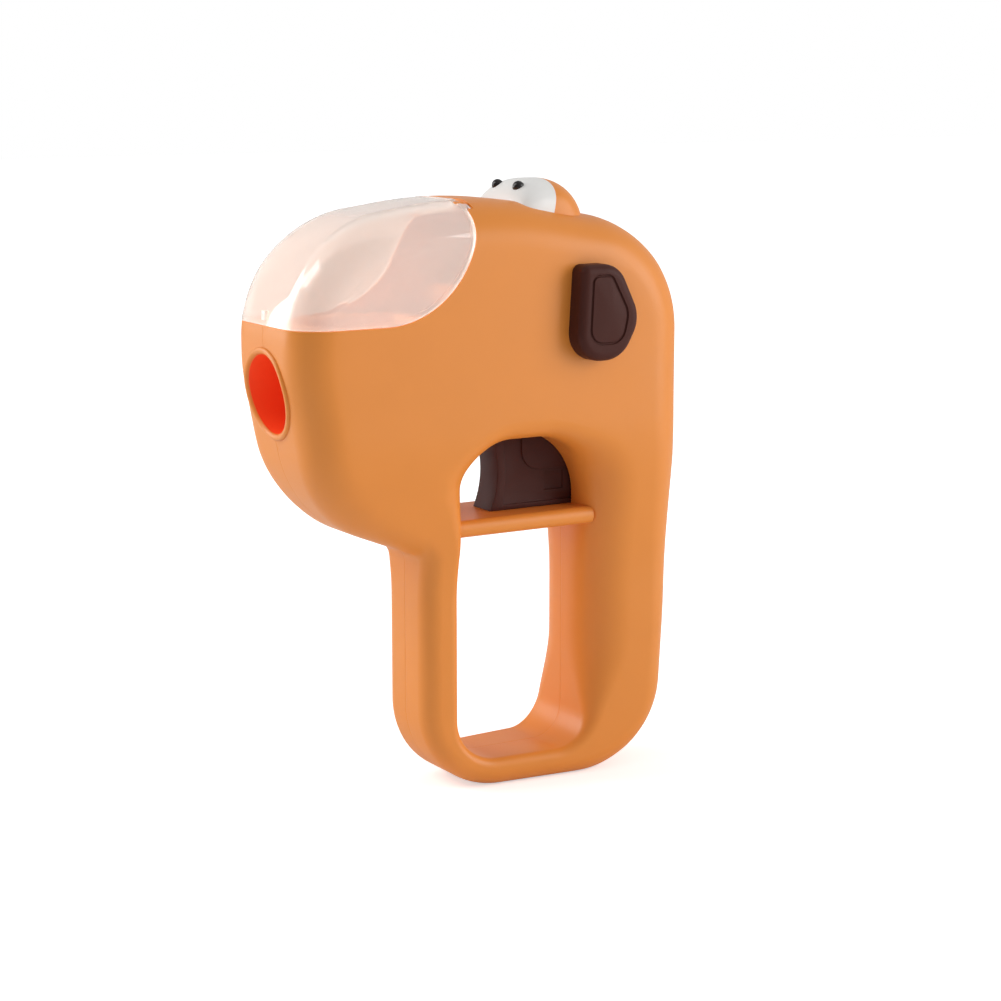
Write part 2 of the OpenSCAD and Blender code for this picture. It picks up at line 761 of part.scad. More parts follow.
// Trigger: a hollowed face, sunk fields on its sides and a fork for the sear at its back
trigger_top = ceiling_z;
fork_top = bore_z - collar_r - 2 * over;
fork_gap = 2.5;
fork_x = collar_x - fork_gap;
hollow_deep = 2.6;
hollow_z = sole_z + 11.2;
border = 2;
rim = 0.6;
field_r = 6;
field_corner = [10.8 - trigger_x, sole_z + 11];
pocket = [6.4, 5.5];
pocket_at = [1.5, sole_z + 4.5];
module trigger_profile() {
    difference() {
        polygon([
            [-trigger_x, sole_z], [trigger_back, sole_z], [trigger_back, fork_top], [fork_x, fork_top],
            [fork_x, trigger_top], [sole_front, trigger_top]
        ]);
        translate([hollow_deep - trigger_x - face_hollow_r, hollow_z]) circle(face_hollow_r, $fn = 120);
    }
}
module trigger_field() {
    start = hollow_deep + border - trigger_x;
    difference() {
        translate([start, sole_z + border - rim]) square([trigger_l, trigger_top - sole_z]);
        translate([start - face_hollow_r, hollow_z]) circle(face_hollow_r + rim, $fn = 120);
        difference() {
            translate(field_corner) square(far);
            difference() {
                translate(field_corner) square(field_r);
                translate(field_corner + [field_r, field_r]) circle(field_r);
            }
        }
    }
}
module trigger() {
    color(brown) difference() {
        across(trigger_w) trigger_profile();
        for (side = [-1, 1]) {
            translate([0, side * (trigger_w - panel_deep), 0]) across(trigger_w) trigger_field();
            translate([0, side * (trigger_w - 2 * panel_deep), 0]) across(trigger_w)
                translate(pocket_at) square(pocket);
        }
        along_x(return_start, return_z) cylinder(h = far, r = return_bore_r);
        translate([collar_x - 2 * fork_gap, -sear_t / 2 - loose / 2, sear_floor]) cube([far, sear_t + loose, far]);
        along_y(pivot.x, -far / 2, pivot.y) cylinder(h = far, r = sear_pin_r + seat);
    }
}

// Sear that hooks the collar and tips down to let it go
module sear() {
    hook_x = collar_x - fork_gap - loose;
    hook_z = bore_z - collar_r + sear_bite;
    tail_x = pivot.x - loose;
    back_z = pivot.y + sear_pin_r + over;
    color(steel) difference() {
        union() {
            along_y(pivot.x, -sear_t / 2, pivot.y) cylinder(h = sear_t, r = sear_pin_r + sear_foot - lug_gap);
            across(sear_t) polygon([
                [tail_x, sear_low], [hook_x, sear_low], [hook_x, hook_z - loose],
                [hook_x + 2 * over, hook_z], [collar_x - running, hook_z],
                [collar_x - running, back_z], [tail_x, back_z]
            ]);
        }
        along_y(pivot.x, -far / 2, pivot.y) cylinder(h = far, r = sear_pin_r + running);
    }
}
module sear_pin() {
    color(steel) along_y(pivot.x, loose - trigger_w / 2, pivot.y) cylinder(h = trigger_w - 2 * loose, r = sear_pin_r);
}

// Eyes and brow: one rounded mound on the crown, split across
mound_foot = crown_z - eye_deep;
foot_r = 0.4 * eye_edge;
mound = rounded([
    [[brow_x, mound_foot], foot_r],
    [[brow_x - brow_slope, brow_z], brow_r],
    [[eye_slope - eye_x, brow_z], eye_r],
    [[-eye_x, mound_foot], foot_r]
]);
function mound_ring(angle, side) = [
    for (p = mound)
        let (q = p[0] - p[1] * eye_edge * (1 - cos(angle)))
        [q.x, side * (eye_w / 2 - eye_edge * (1 - sin(angle))), q.y]
];
module mound_part(low_x, high_x) {
    difference() {
        intersection() {
            stacked([
                for (angle = [90:-18:0]) mound_ring(angle, -1),
                for (angle = [0:18:90]) mound_ring(angle, 1)
            ]);
            translate([low_x, -far / 2, 0]) cube([high_x - low_x, far, far]);
        }
        across(far) polygon([for (p = housing) p[0]]);
    }
    stem = [max(low_x, stem_front + 2 * running), min(high_x, stem_back - 2 * running)];
    half = stem_half - 2 * running;
    foot = top_at(housing, stem[1]) - wall - over;
    translate([stem[0], -half, foot]) cube([stem[1] - stem[0], 2 * half, wall + 3 * over]);
}
pupil_at = on_ring(
    mound,
    [eye_slope - eye_x + eye_r, brow_z - eye_r],
    [-sin(pupil_tilt), cos(pupil_tilt)]
)[0];
module pupil_seat(side, r, high) {
    translate([pupil_at.x, side * pupil_gap / 2, pupil_at.y]) rotate([0, -pupil_tilt, 0])
        translate([0, 0, -pupil_deep]) cylinder(h = pupil_deep + high, r = r);
}
module eye_block() {
    color(white) difference() {
        mound_part(-far / 2, eye_split_x);
        for (side = [-1, 1]) pupil_seat(side, pupil_r + seat, eye_r);
    }
}
module left_pupil() { color(black) pupil_seat(-1, pupil_r, pupil_out); }
module right_pupil() { color(black) pupil_seat(1, pupil_r, pupil_out); }
module brow_cap() { color(orange) mound_part(eye_split_x, far / 2); }

// Ear: a drooping plate with a grooved field and a peg into the flank
// Corners by share of the ear's length and height, and their radius by share of its length
ear_shape = [[0.74, 0, 0.43], [1.06, 0.37, 0.43], [0.71, 1, 0.33], [0.08, 1, 0.12], [0, 0, 0.38]];
field_shape = [[0.72, 0.17, 0.24], [0.81, 0.48, 0.29], [0.5, 0.9, 0.12], [0.3, 0.9, 0.12], [0.19, 0.17, 0.21]];
function ear_corners(shape) = [for (s = shape) [[s[0] * ear_l - ear_x, ear_z + s[1] * ear_h], s[2] * ear_l]];
ear_outline = rounded(ear_corners(ear_shape));
ear_field_outline = rounded(ear_corners(field_shape));
function ear_ring(inset, y) = [for (p = ear_outline) let (q = p[0] - p[1] * inset) [q.x, y, q.y]];
module ear_field(inset) { polygon([for (p = ear_field_outline) p[0] - p[1] * inset]); }
module ear() {
    color(brown) difference() {
        union() {
            stacked([
                for (angle = [90:-22.5:0])
                    ear_ring(ear_edge * (1 - cos(angle)), -flank - ear_out + ear_edge * (1 - sin(angle))),
                ear_ring(0, -flank)
            ]);
            along_y(ear_peg.x, -flank - over, ear_peg.y) cylinder(h = wall + 2 * over, r = ear_peg_r);
        }
        translate([0, -flank - ear_out, 0]) across(over) difference() {
            ear_field(0);
            ear_field(groove_w);
        }
    }
}
module left_ear() { ear(); }
module right_ear() { mirror([0, 1, 0]) ear(); }

left_shell();
right_shell();
lid();
lid_pin();
lid_tab();
hopper();
barrel();
barrel_cap();
plunger();
plunger_ring();
rod_collar();
main_spring();
trigger();
trigger_spring();
sear();
sear_pin();
sear_spring();
eye_block();
left_pupil();
right_pupil();
brow_cap();
left_ear();
right_ear();
shell_screws();
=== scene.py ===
import math
import bmesh
import bpy
import numpy as np
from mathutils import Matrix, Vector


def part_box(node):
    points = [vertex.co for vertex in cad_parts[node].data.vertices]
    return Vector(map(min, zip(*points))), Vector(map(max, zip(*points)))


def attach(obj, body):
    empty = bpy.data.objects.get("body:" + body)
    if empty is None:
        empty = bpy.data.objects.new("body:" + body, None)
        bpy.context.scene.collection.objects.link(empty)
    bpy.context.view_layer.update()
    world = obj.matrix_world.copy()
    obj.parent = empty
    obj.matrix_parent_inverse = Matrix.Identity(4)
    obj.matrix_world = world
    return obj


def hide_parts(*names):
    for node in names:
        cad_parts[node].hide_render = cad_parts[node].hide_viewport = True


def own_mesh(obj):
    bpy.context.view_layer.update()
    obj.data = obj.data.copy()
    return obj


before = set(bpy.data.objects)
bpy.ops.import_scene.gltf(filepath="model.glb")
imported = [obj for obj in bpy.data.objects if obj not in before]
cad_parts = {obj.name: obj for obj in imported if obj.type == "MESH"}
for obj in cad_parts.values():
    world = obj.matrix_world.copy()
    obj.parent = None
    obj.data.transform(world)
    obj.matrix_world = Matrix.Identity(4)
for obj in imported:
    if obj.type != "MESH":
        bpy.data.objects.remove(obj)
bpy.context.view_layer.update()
print("frame loaded:", len(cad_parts), "nodes")

mm = 0.001  # every size below is in millimetres, as on the drawing, and every mesh in metres

# main sizes of the moulded housing, seen from its left side: the nose points to -x
head = {
    "wide": 45, "backX": 40.7, "noseX": 86.2, "crownZ": 171.9, "crownX": 25.4, "crownR": 122,
    "napeDrop": 12.6, "napeR": 34.3, "snoutDrop": 8.6, "snoutR": 35.6, "faceZ": 124, "faceR": 52,
    "chinBack": 7.6, "chinZ": 84.3, "chinR": 34, "edge": 12.8, "noseEdge": 11.3, "leastEdge": 0.5,
    "dome": 0.22, "domeFrom": 22, "domeTo": 6, "wall": 2.2,
}
grip = {
    "postX": 42.7, "postThick": 10.9, "rearThick": 30.4, "heelIn": 5.35, "footThick": 8.4, "archZ": 102.8,
    "archR": 19.5, "frontArchR": 13.5, "loopR": 12.6, "backLoopR": 10, "throatZ": 70, "throatR": 4,
    "toeR": 25, "heelR": 27, "waistZ": 93.4, "waistR": 60, "wide": 30.4, "taper": 0.075, "edge": 6.9,
    "outerShare": 0.62, "holeShare": 0.33, "windowEdge": 13.5, "frontEdge": 10.8, "ceilingEdge": 6,
}
detail = {"step": 1.3, "edgeSteps": 15, "insideSteps": 6, "flankSteps": 14, "lidSteps": 18, "around": 128}
past = 60  # cuts reach this far to the sides, past the part
flank = head["wide"] / 2
gripBack = head["backX"] - grip["rearThick"]
gripFront = grip["postX"] - grip["postThick"]
thinnest = min(grip["postThick"], grip["footThick"])
outerThin = grip["outerShare"] * thinnest  # edge rounding of the thin loop, outside
holeThin = grip["holeShare"] * thinnest  # and in the hole


# eases from 0 to 1 between low and high: three t squared less two t cubed
def ease(low, high, value):
    t = np.clip((value - low) / (high - low), 0, 1)
    return t * t * (3 - 2 * t)


# a share of the way from a to b
def between(a, b, share):
    return a + (b - a) * share


# each vector divided by its length
def unit(vectors):
    return vectors / np.linalg.norm(vectors, axis=-1, keepdims=True)


# cross product in the plane: a's first by b's second, less a's second by b's first
def cross2(a, b):
    return a[..., 0] * b[..., 1] - a[..., 1] * b[..., 0]


# outline with rounded corners: an arc tangent to both sides at each corner, then a straight run to the next
# corners are x, z, radius in counter-clockwise order; gives the points and their outward normals
def roundedOutline(corners, step):
    corners = np.asarray(corners, float)
    at, radius = corners[:, :2], corners[:, 2]
    back = np.roll(at, 1, 0) - at
    ahead = np.roll(at, -1, 0) - at
    opening = np.arccos((unit(back) * unit(ahead)).sum(1))
    side = np.sign(cross2(-back, ahead))
    centre = at + unit(unit(back) + unit(ahead)) * (radius / np.sin(opening / 2))[:, None]
    first = at + unit(back) * (radius / np.tan(opening / 2))[:, None] - centre
    start = np.arctan2(first[:, 1], first[:, 0])
    sweep = side * (np.pi - opening)
    points, normals = [], []
    for i in range(len(at)):
        count = max(4, int(radius[i] * abs(sweep[i]) / step) + 2)
        turn = start[i] + sweep[i] * np.linspace(0, 1, count)
        ray = np.column_stack([np.cos(turn), np.sin(turn)])
        arc = centre[i] + radius[i] * ray
        following = (i + 1) % len(at)
        run = centre[following] + first[following] - arc[-1]
        share = np.linspace(0, 1, max(2, int(np.linalg.norm(run) / step) + 1))[1:-1, None]
        points += [arc, arc[-1] + share * run]
        normals += [side[i] * ray, np.repeat(side[i] * ray[-1:], len(share), 0)]
    return np.vstack(points), np.vstack(normals)


# where rays from a middle point, or from one for each ray, towards the given points leave a closed ring
def onRing(points, normals, middle, towards):
    middle = np.broadcast_to(middle, towards.shape)
    a = points[None] - middle[:, None]
    b = np.roll(a, -1, 1)
    ray = (towards - middle)[:, None]
    crossA, crossB = cross2(ray, a), cross2(ray, b)
    hit = ((crossA <= 0) & (crossB > 0) & (((a + b) * ray).sum(-1) > 0)).argmax(1)
    row = np.arange(len(towards))
    share = (crossA[row, hit] / (crossA[row, hit] - crossB[row, hit]))[:, None]
    after = (hit + 1) % len(points)
    return between(points[hit], points[after], share), unit(between(normals[hit], normals[after], share))


# solid from rings of equal count: each ring joins the next, and the ends are capped or join each other
def solidFrom(name, rings, capped=True, finish=0):
    rings = np.asarray(rings, float)
    index = np.arange(rings.shape[0] * rings.shape[1]).reshape(rings.shape[:2])
    row = index[:-1] if capped else index
    upper = index[1:] if capped else np.roll(index, -1, 0)
    quads = np.stack([row, np.roll(row, -1, 1), np.roll(upper, -1, 1), upper], -1)
    quads = quads.reshape(-1, 4).tolist()
    caps = [index[0][::-1].tolist(), index[-1].tolist()] if capped else []
    mesh = bpy.data.meshes.new(name)
    mesh.from_pydata((rings.reshape(-1, 3) * mm).tolist(), [], quads + caps)
    shape = bmesh.new()
    shape.from_mesh(mesh)
    bmesh.ops.remove_doubles(shape, verts=shape.verts, dist=1e-7)
    if shape.calc_volume(signed=True) < 0:
        bmesh.ops.reverse_faces(shape, faces=shape.faces)
    shape.to_mesh(mesh)
    shape.free()
    mesh.polygons.foreach_set("material_index", np.full(len(mesh.polygons), finish, np.int32))
    piece = bpy.data.objects.new(name, mesh)
    bpy.context.scene.collection.objects.link(piece)
    return piece


# flat outline in x and z, carried along y from low to high
def prism(name, outline, low, high, finish=0):
    outline = np.asarray(outline, float)
    rings = [np.column_stack([outline[:, 0], np.full(len(outline), y), outline[:, 1]]) for y in (low, high)]
    return solidFrom(name, rings, finish=finish)


# square block between its low and high corners: a rectangle carried along y
def block(name, low, high):
    corners = [(low[0], low[2]), (high[0], low[2]), (high[0], high[2]), (low[0], high[2])]
    return prism(name, corners, low[1], high[1])


# round bar between two points, along x or y
def bar(name, start, end, radius, around=64):
    start, end = np.asarray(start, float), np.asarray(end, float)
    turn = np.linspace(0, 2 * np.pi, around, endpoint=False)
    way = unit(end - start)
    across = np.cross(way, (0, 0, 1))
    ring = radius * (np.outer(np.cos(turn), across) + np.outer(np.sin(turn), (0, 0, 1)))
    return solidFrom(name, [start + ring, end + ring])


# joins, cuts or keeps with the help of other solids, which are used up
def carve(piece, helpers, how):
    together = bpy.data.collections.new("helpers")
    for helper in helpers:
        together.objects.link(helper)
    work = piece.modifiers.new("carve", "BOOLEAN")
    work.operation = how
    work.solver = "MANIFOLD"
    work.operand_type = "COLLECTION"
    work.collection = together
    shape = bpy.data.meshes.new_from_object(piece.evaluated_get(bpy.context.evaluated_depsgraph_get()))
    piece.modifiers.clear()
    piece.data = shape
    for helper in helpers:
        bpy.data.objects.remove(helper)
    bpy.data.collections.remove(together)
    return piece


# smooth faces, crisp past an angle, then the finishes, the body it moves with and the nodes it stands for
def dress(piece, body, nodes, finishes, crisp=32):
    piece.data.materials.clear()
    for finish in finishes:
        piece.data.materials.append(finish)
    piece.data.shade_smooth()
    piece.data.set_sharp_from_angle(angle=math.radians(crisp))
    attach(piece, body)
    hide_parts(*nodes)
    return piece


# node group with number sockets, each input at its starting value, and its two end nodes
def newGroup(name, inputs, outputs):
    group = bpy.data.node_groups.new(name, "ShaderNodeTree")
    for socket, start in inputs:
        made = group.interface.new_socket(socket, in_out="INPUT", socket_type="NodeSocketFloat")
        made.default_value = start
    for socket in outputs:
        group.interface.new_socket(socket, in_out="OUTPUT", socket_type="NodeSocketFloat")
    return group, group.nodes.new("NodeGroupInput"), group.nodes.new("NodeGroupOutput")


# adds a node with its settings, and links or sets its sockets, by name, or by number as i0, i1
def put(tree, kind, settings=(), **sockets):
    node = tree.nodes.new(kind)
    for key, value in dict(settings).items():
        setattr(node, key, value)
    for key, value in sockets.items():
        numbered = key[0] == "i" and key[1:].isdigit()
        socket = node.inputs[int(key[1:]) if numbered else key]
        if isinstance(value, bpy.types.NodeSocket):
            tree.links.new(value, socket)
        else:
            socket.default_value = value
    return node


# moulded surface: broad uneven tone, fine grain for bump, and roughness that drifts between two values
def mouldGroup():
    inputs = [("Grain Scale", 2600), ("Drift Scale", 60), ("Tone Swing", 0.05)]
    inputs += [("Rough Low", 0.36), ("Rough High", 0.46)]
    group, given, result = newGroup("mouldedSurface", inputs, ["Tone", "Rough", "Height"])
    place = put(group, "ShaderNodeTexCoord").outputs["Object"]
    drift = put(group, "ShaderNodeTexNoise", Vector=place, Scale=given.outputs["Drift Scale"], Detail=3.0)
    grain = put(group, "ShaderNodeTexNoise", Vector=place, Scale=given.outputs["Grain Scale"], Detail=2.0)
    swing = put(group, "ShaderNodeMath", {"operation": "SUBTRACT"}, i0=drift.outputs["Fac"], i1=0.5)
    tone = put(group, "ShaderNodeMath", {"operation": "MULTIPLY_ADD"}, i0=swing.outputs[0],
               i1=given.outputs["Tone Swing"], i2=1.0)
    mixed = put(group, "ShaderNodeMath", {"operation": "MULTIPLY_ADD"}, i0=grain.outputs["Fac"], i1=0.35,
                i2=swing.outputs[0])
    rough = put(group, "ShaderNodeMapRange", i0=mixed.outputs[0], i1=-0.1, i2=0.45,
                i3=given.outputs["Rough Low"], i4=given.outputs["Rough High"])
    group.links.new(tone.outputs[0], result.inputs["Tone"])
    group.links.new(rough.outputs[0], result.inputs["Rough"])
    group.links.new(grain.outputs["Fac"], result.inputs["Height"])
    return group


# hairline scuffs from handling: thin ridges of a stretched noise, kept where a broad noise is high
def scuffGroup():
    group, given, result = newGroup("handlingScuffs", [("Scuff Scale", 90), ("Cover", 0.5)], ["Mask"])
    place = put(group, "ShaderNodeTexCoord").outputs["Object"]
    turned = put(group, "ShaderNodeMapping", Vector=place, Rotation=(0.4, 0.9, 0.3), Scale=(1.0, 1.0, 0.12))
    lines = put(group, "ShaderNodeTexNoise", Vector=turned.outputs[0], Scale=given.outputs["Scuff Scale"],
                Detail=4.0, Distortion=0.6)
    ridge = put(group, "ShaderNodeMath", {"operation": "SUBTRACT"}, i0=lines.outputs["Fac"], i1=0.5)
    thin = put(group, "ShaderNodeMath", {"operation": "ABSOLUTE"}, i0=ridge.outputs[0])
    hair = put(group, "ShaderNodeMapRange", i0=thin.outputs[0], i1=0.0, i2=0.006, i3=1.0, i4=0.0)
    patch = put(group, "ShaderNodeTexNoise", Vector=place, Scale=35.0, Detail=2.0)
    kept = put(group, "ShaderNodeMapRange", i0=patch.outputs["Fac"], i1=given.outputs["Cover"], i2=0.75,
               i3=0.0, i4=1.0)
    mask = put(group, "ShaderNodeMath", {"operation": "MULTIPLY"}, i0=hair.outputs[0], i1=kept.outputs[0])
    group.links.new(mask.outputs[0], result.inputs["Mask"])
    return group


moulded = mouldGroup()
scuffed = scuffGroup()
scuff = {"dull": 0.12, "sunk": -0.5, "bumpHigh": 0.0002}


# plastic with the moulded surface in its tone, gloss and bump, and scuffs that dull it a little
def plastic(name, look):
    finish = bpy.data.materials.new(name)
    finish.use_nodes = True
    tree = finish.node_tree
    shader = tree.nodes["Principled BSDF"]
    surface = put(tree, "ShaderNodeGroup", {"node_tree": moulded})
    for socket, value in look["surface"].items():
        surface.inputs[socket].default_value = value
    scuffs = put(tree, "ShaderNodeGroup", {"node_tree": scuffed})
    scuffs.inputs["Cover"].default_value = look["scuffCover"]
    tinted = put(tree, "ShaderNodeMix", {"data_type": "RGBA", "blend_type": "MULTIPLY"}, i0=1.0)
    tinted.inputs[6].default_value = (*look["colour"], 1)
    tree.links.new(surface.outputs["Tone"], tinted.inputs[7])
    dulled = put(tree, "ShaderNodeMath", {"operation": "MULTIPLY_ADD"}, i0=scuffs.outputs["Mask"],
                 i1=scuff["dull"], i2=surface.outputs["Rough"])
    raised = put(tree, "ShaderNodeMath", {"operation": "MULTIPLY_ADD"}, i0=scuffs.outputs["Mask"],
                 i1=scuff["sunk"], i2=surface.outputs["Height"])
    bump = put(tree, "ShaderNodeBump", Strength=look["bump"], Distance=scuff["bumpHigh"],
               Height=raised.outputs[0])
    tree.links.new(tinted.outputs[2], shader.inputs["Base Color"])
    tree.links.new(dulled.outputs[0], shader.inputs["Roughness"])
    tree.links.new(bump.outputs[0], shader.inputs["Normal"])
    for socket, value in look.get("sockets", {}).items():
        shader.inputs[socket].default_value = value
    return finish


orangeLook = {
    "colour": (0.80, 0.268, 0.042), "bump": 0.05, "scuffCover": 0.6,
    "sockets": {"Specular IOR Level": 0.42},
    "surface": {"Tone Swing": 0.06, "Rough Low": 0.34, "Rough High": 0.46},
}
# painted shade and glow for the bore: it is orange plastic like the face, its deep red colour is painted
# shade from light bounced inside it, and the weak emission is a painted glow
boreShadeAndGlowLook = {
    "colour": (0.95, 0.09, 0.02), "bump": 0.04, "scuffCover": 0.6,
    "sockets": {"Emission Color": (0.95, 0.05, 0.01, 1), "Emission Strength": 0.1},  # light through the wall
    "surface": {"Tone Swing": 0.05, "Rough Low": 0.36, "Rough High": 0.46},
}
brownLook = {
    "colour": (0.063, 0.0175, 0.0125), "bump": 0.08, "scuffCover": 0.52,
    "sockets": {"Specular IOR Level": 0.14},
    "surface": {"Tone Swing": 0.16, "Rough Low": 0.4, "Rough High": 0.55, "Grain Scale": 1900},
}
whiteLook = {
    "colour": (0.87, 0.855, 0.83), "bump": 0.03, "scuffCover": 0.65,
    "surface": {"Tone Swing": 0.03, "Rough Low": 0.28, "Rough High": 0.38},
}
blackLook = {
    "colour": (0.012, 0.010, 0.010), "bump": 0.03, "scuffCover": 0.6,
    "surface": {"Tone Swing": 0.1, "Rough Low": 0.2, "Rough High": 0.3},
}
sealLook = {
    "colour": (0.020, 0.020, 0.022), "bump": 0.1, "scuffCover": 0.6,
    "surface": {"Tone Swing": 0.1, "Rough Low": 0.5, "Rough High": 0.65},
}
wireLook = {
    "colour": (0.52, 0.53, 0.55), "bump": 0.06, "scuffCover": 0.5, "sockets": {"Metallic": 1.0},
    "surface": {"Tone Swing": 0.12, "Rough Low": 0.22, "Rough High": 0.36, "Grain Scale": 4000},
}
zincLook = {
    "colour": (0.56, 0.57, 0.58), "bump": 0.05, "scuffCover": 0.5, "sockets": {"Metallic": 1.0},
    "surface": {"Tone Swing": 0.1, "Rough Low": 0.26, "Rough High": 0.42, "Grain Scale": 3200},
}
orange = plastic("orangePlastic", orangeLook)
# the bore's finish: painted red shade and a painted glow
boreShadeAndGlow = plastic("boreShadeAndGlowPlastic", boreShadeAndGlowLook)
brown = plastic("brownPlastic", brownLook)
white = plastic("whitePlastic", whiteLook)
black = plastic("blackPlastic", blackLook)
seal = plastic("sealRubber", sealLook)
wire = plastic("springWire", wireLook)
zinc = plastic("zincSteel", zincLook)


# the rim's finish lets less light through than the lid's, so it scatters whiter: a painted highlight for the
# bright line of light along the lid's edge
clearLook = {
    "colour": (1.0, 0.915, 0.855), "shade": (1.0, 0.95, 0.92), "through": 0.62, "rimThrough": 0.2,
    "bend": 1.49, "scuffCover": 0.55, "rough": (0.03, 0.16),
}


# clear plastic: part of it lets light through, the rest scatters it, and lamps shine through it unbent
def clearPlastic(name, through):
    finish = bpy.data.materials.new(name)
    finish.use_nodes = True
    tree = finish.node_tree
    shader = tree.nodes["Principled BSDF"]
    shader.inputs["Base Color"].default_value = (*clearLook["colour"], 1)
    shader.inputs["Transmission Weight"].default_value = through
    shader.inputs["IOR"].default_value = clearLook["bend"]
    scuffs = put(tree, "ShaderNodeGroup", {"node_tree": scuffed})
    scuffs.inputs["Cover"].default_value = clearLook["scuffCover"]
    dulled = put(tree, "ShaderNodeMapRange", i0=scuffs.outputs["Mask"], i1=0.0, i2=1.0,
                 i3=clearLook["rough"][0], i4=clearLook["rough"][1])
    tree.links.new(dulled.outputs[0], shader.inputs["Roughness"])
    ray = put(tree, "ShaderNodeLightPath")
    passing = put(tree, "ShaderNodeBsdfTransparent", Color=(*clearLook["shade"], 1))
    both = put(tree, "ShaderNodeMixShader", i0=ray.outputs["Is Shadow Ray"], i1=shader.outputs[0],
               i2=passing.outputs[0])
    tree.links.new(both.outputs[0], tree.nodes["Material Output"].inputs["Surface"])
    return finish


clear = clearPlastic("clearPlastic", clearLook["through"])
# whiter rim finish: painted highlight along the lid's edge
clearRim = clearPlastic("clearRim", clearLook["rimThrough"])
print("finishes made")


# half width at a point of the side view: the handle's, which grows along x, easing to the head's higher up
def halfWide(p):
    return between(grip["wide"] / 2 + grip["taper"] * p[:, 0], flank,
                   ease(0.8 * grip["throatZ"], grip["archZ"] + grip["throatR"], p[:, 1]))


# radius of the outer edge: small round the thin loop, easing to the handle's and the head's, less at the nose
def outerEdge(p):
    x, z = p[:, 0], p[:, 1]
    throat, bend = grip["throatZ"], grip["throatR"]
    top = grip["archZ"] + 2 * bend
    usual = between(grip["edge"], head["edge"], ease(barSize["top"] / 2, top, z))
    ahead = ease(-head["crownX"], -0.8 * head["noseX"], x) * ease(throat, top, z)
    nose = (head["noseEdge"] - head["edge"]) * ahead
    rear = ease(gripBack - outerThin, gripBack + 2 * grip["edge"], x)
    full = np.maximum(rear, ease(throat - bend, throat + 4 * bend, z))
    return between(outerThin, usual + nose, full)


# radius of the finger hole's edge: small round the thin loop, large beside the window, less at its ceiling
def holeEdge(p):
    x, z = p[:, 0], p[:, 1]
    arch, bend, foot = grip["archZ"], grip["archR"], grip["footThick"]
    sides = between(grip["windowEdge"], grip["frontEdge"], ease(0, gripFront, -x))
    wide = between(sides, grip["ceilingEdge"], ease(arch - 0.7 * bend, arch, z))
    rear = ease(gripBack - grip["loopR"], gripBack, x) * ease(foot, foot + 2.5 * grip["loopR"], z)
    full = np.maximum(rear, ease(grip["throatZ"], arch - 0.4 * bend, z))
    return between(holeThin, wide, full)


barSize = {"top": 79.9, "thick": 5, "wide": 28.4}
outline, outlineNormal = roundedOutline([
    (head["backX"] - grip["heelIn"], 0, grip["heelR"]),
    (head["backX"], grip["waistZ"], grip["waistR"]),
    (head["backX"], head["crownZ"] - head["napeDrop"], head["napeR"]),
    (-head["crownX"], head["crownZ"], head["crownR"]),
    (-head["noseX"], head["crownZ"] - head["snoutDrop"], head["snoutR"]),
    (-head["noseX"], head["faceZ"], head["faceR"]),
    (head["chinBack"] - head["noseX"], head["chinZ"], head["chinR"]),
    (-grip["postX"], grip["throatZ"], grip["throatR"]),
    (-grip["postX"], 0, grip["toeR"]),
], detail["step"])
level = np.clip(outline[:, 1], grip["footThick"] + grip["loopR"], grip["archZ"] - grip["archR"])
middle = np.column_stack([np.full(len(level), (gripBack - gripFront) / 2), level])
hole, holeNormal = onRing(*roundedOutline([
    (gripBack, grip["footThick"], grip["backLoopR"]),
    (gripBack, grip["archZ"], grip["archR"]),
    (-gripFront, grip["archZ"], grip["frontArchR"]),
    (-gripFront, grip["footThick"], grip["loopR"]),
], detail["step"] / 2), middle, outline)


# ring on an edge rounding: at an angle up it, the outline moves in by the radius times one less the cosine,
# and the half width falls short of the flank by the radius times one less the sine, and by more on the crown
def edgeRing(ring, normal, edge, way, depth, angle):
    radius = np.maximum(edge(ring) - depth, head["leastEdge"])
    flat = ring + way * normal * (depth + radius * (1 - math.cos(angle)))[:, None]
    crownLow, crownHigh = head["crownZ"] - head["domeFrom"], head["crownZ"] - head["domeTo"]
    domed = 1 + head["dome"] * ease(crownLow, crownHigh, ring[:, 1])
    y = -(halfWide(flat) - depth - domed * radius * (1 - math.sin(angle)))
    return np.column_stack([flat[:, 0], y, flat[:, 1]])


# rings across the flank: shares of the way from the outer edge's last ring to the hole's, at the half width
def flankRings(depth, shares):
    outer = edgeRing(outline, outlineNormal, outerEdge, -1, depth, math.pi / 2)[:, [0, 2]]
    inner = edgeRing(hole, holeNormal, holeEdge, 1, depth, math.pi / 2)[:, [0, 2]]
    flats = [between(outer, inner, share) for share in shares]
    return [np.column_stack([q[:, 0], depth - halfWide(q), q[:, 1]]) for q in flats]


# ring beside the joint line: the outline moved along its normal by an inset, at one y
def seamRing(ring, normal, inset, y):
    flat = ring + normal * inset
    return np.column_stack([flat[:, 0], np.full(len(flat), y), flat[:, 1]])


seamSize = {"deep": 0.05, "wide": 0.1, "flat": 0.5}  # fine joint line between the halves, flat beside it


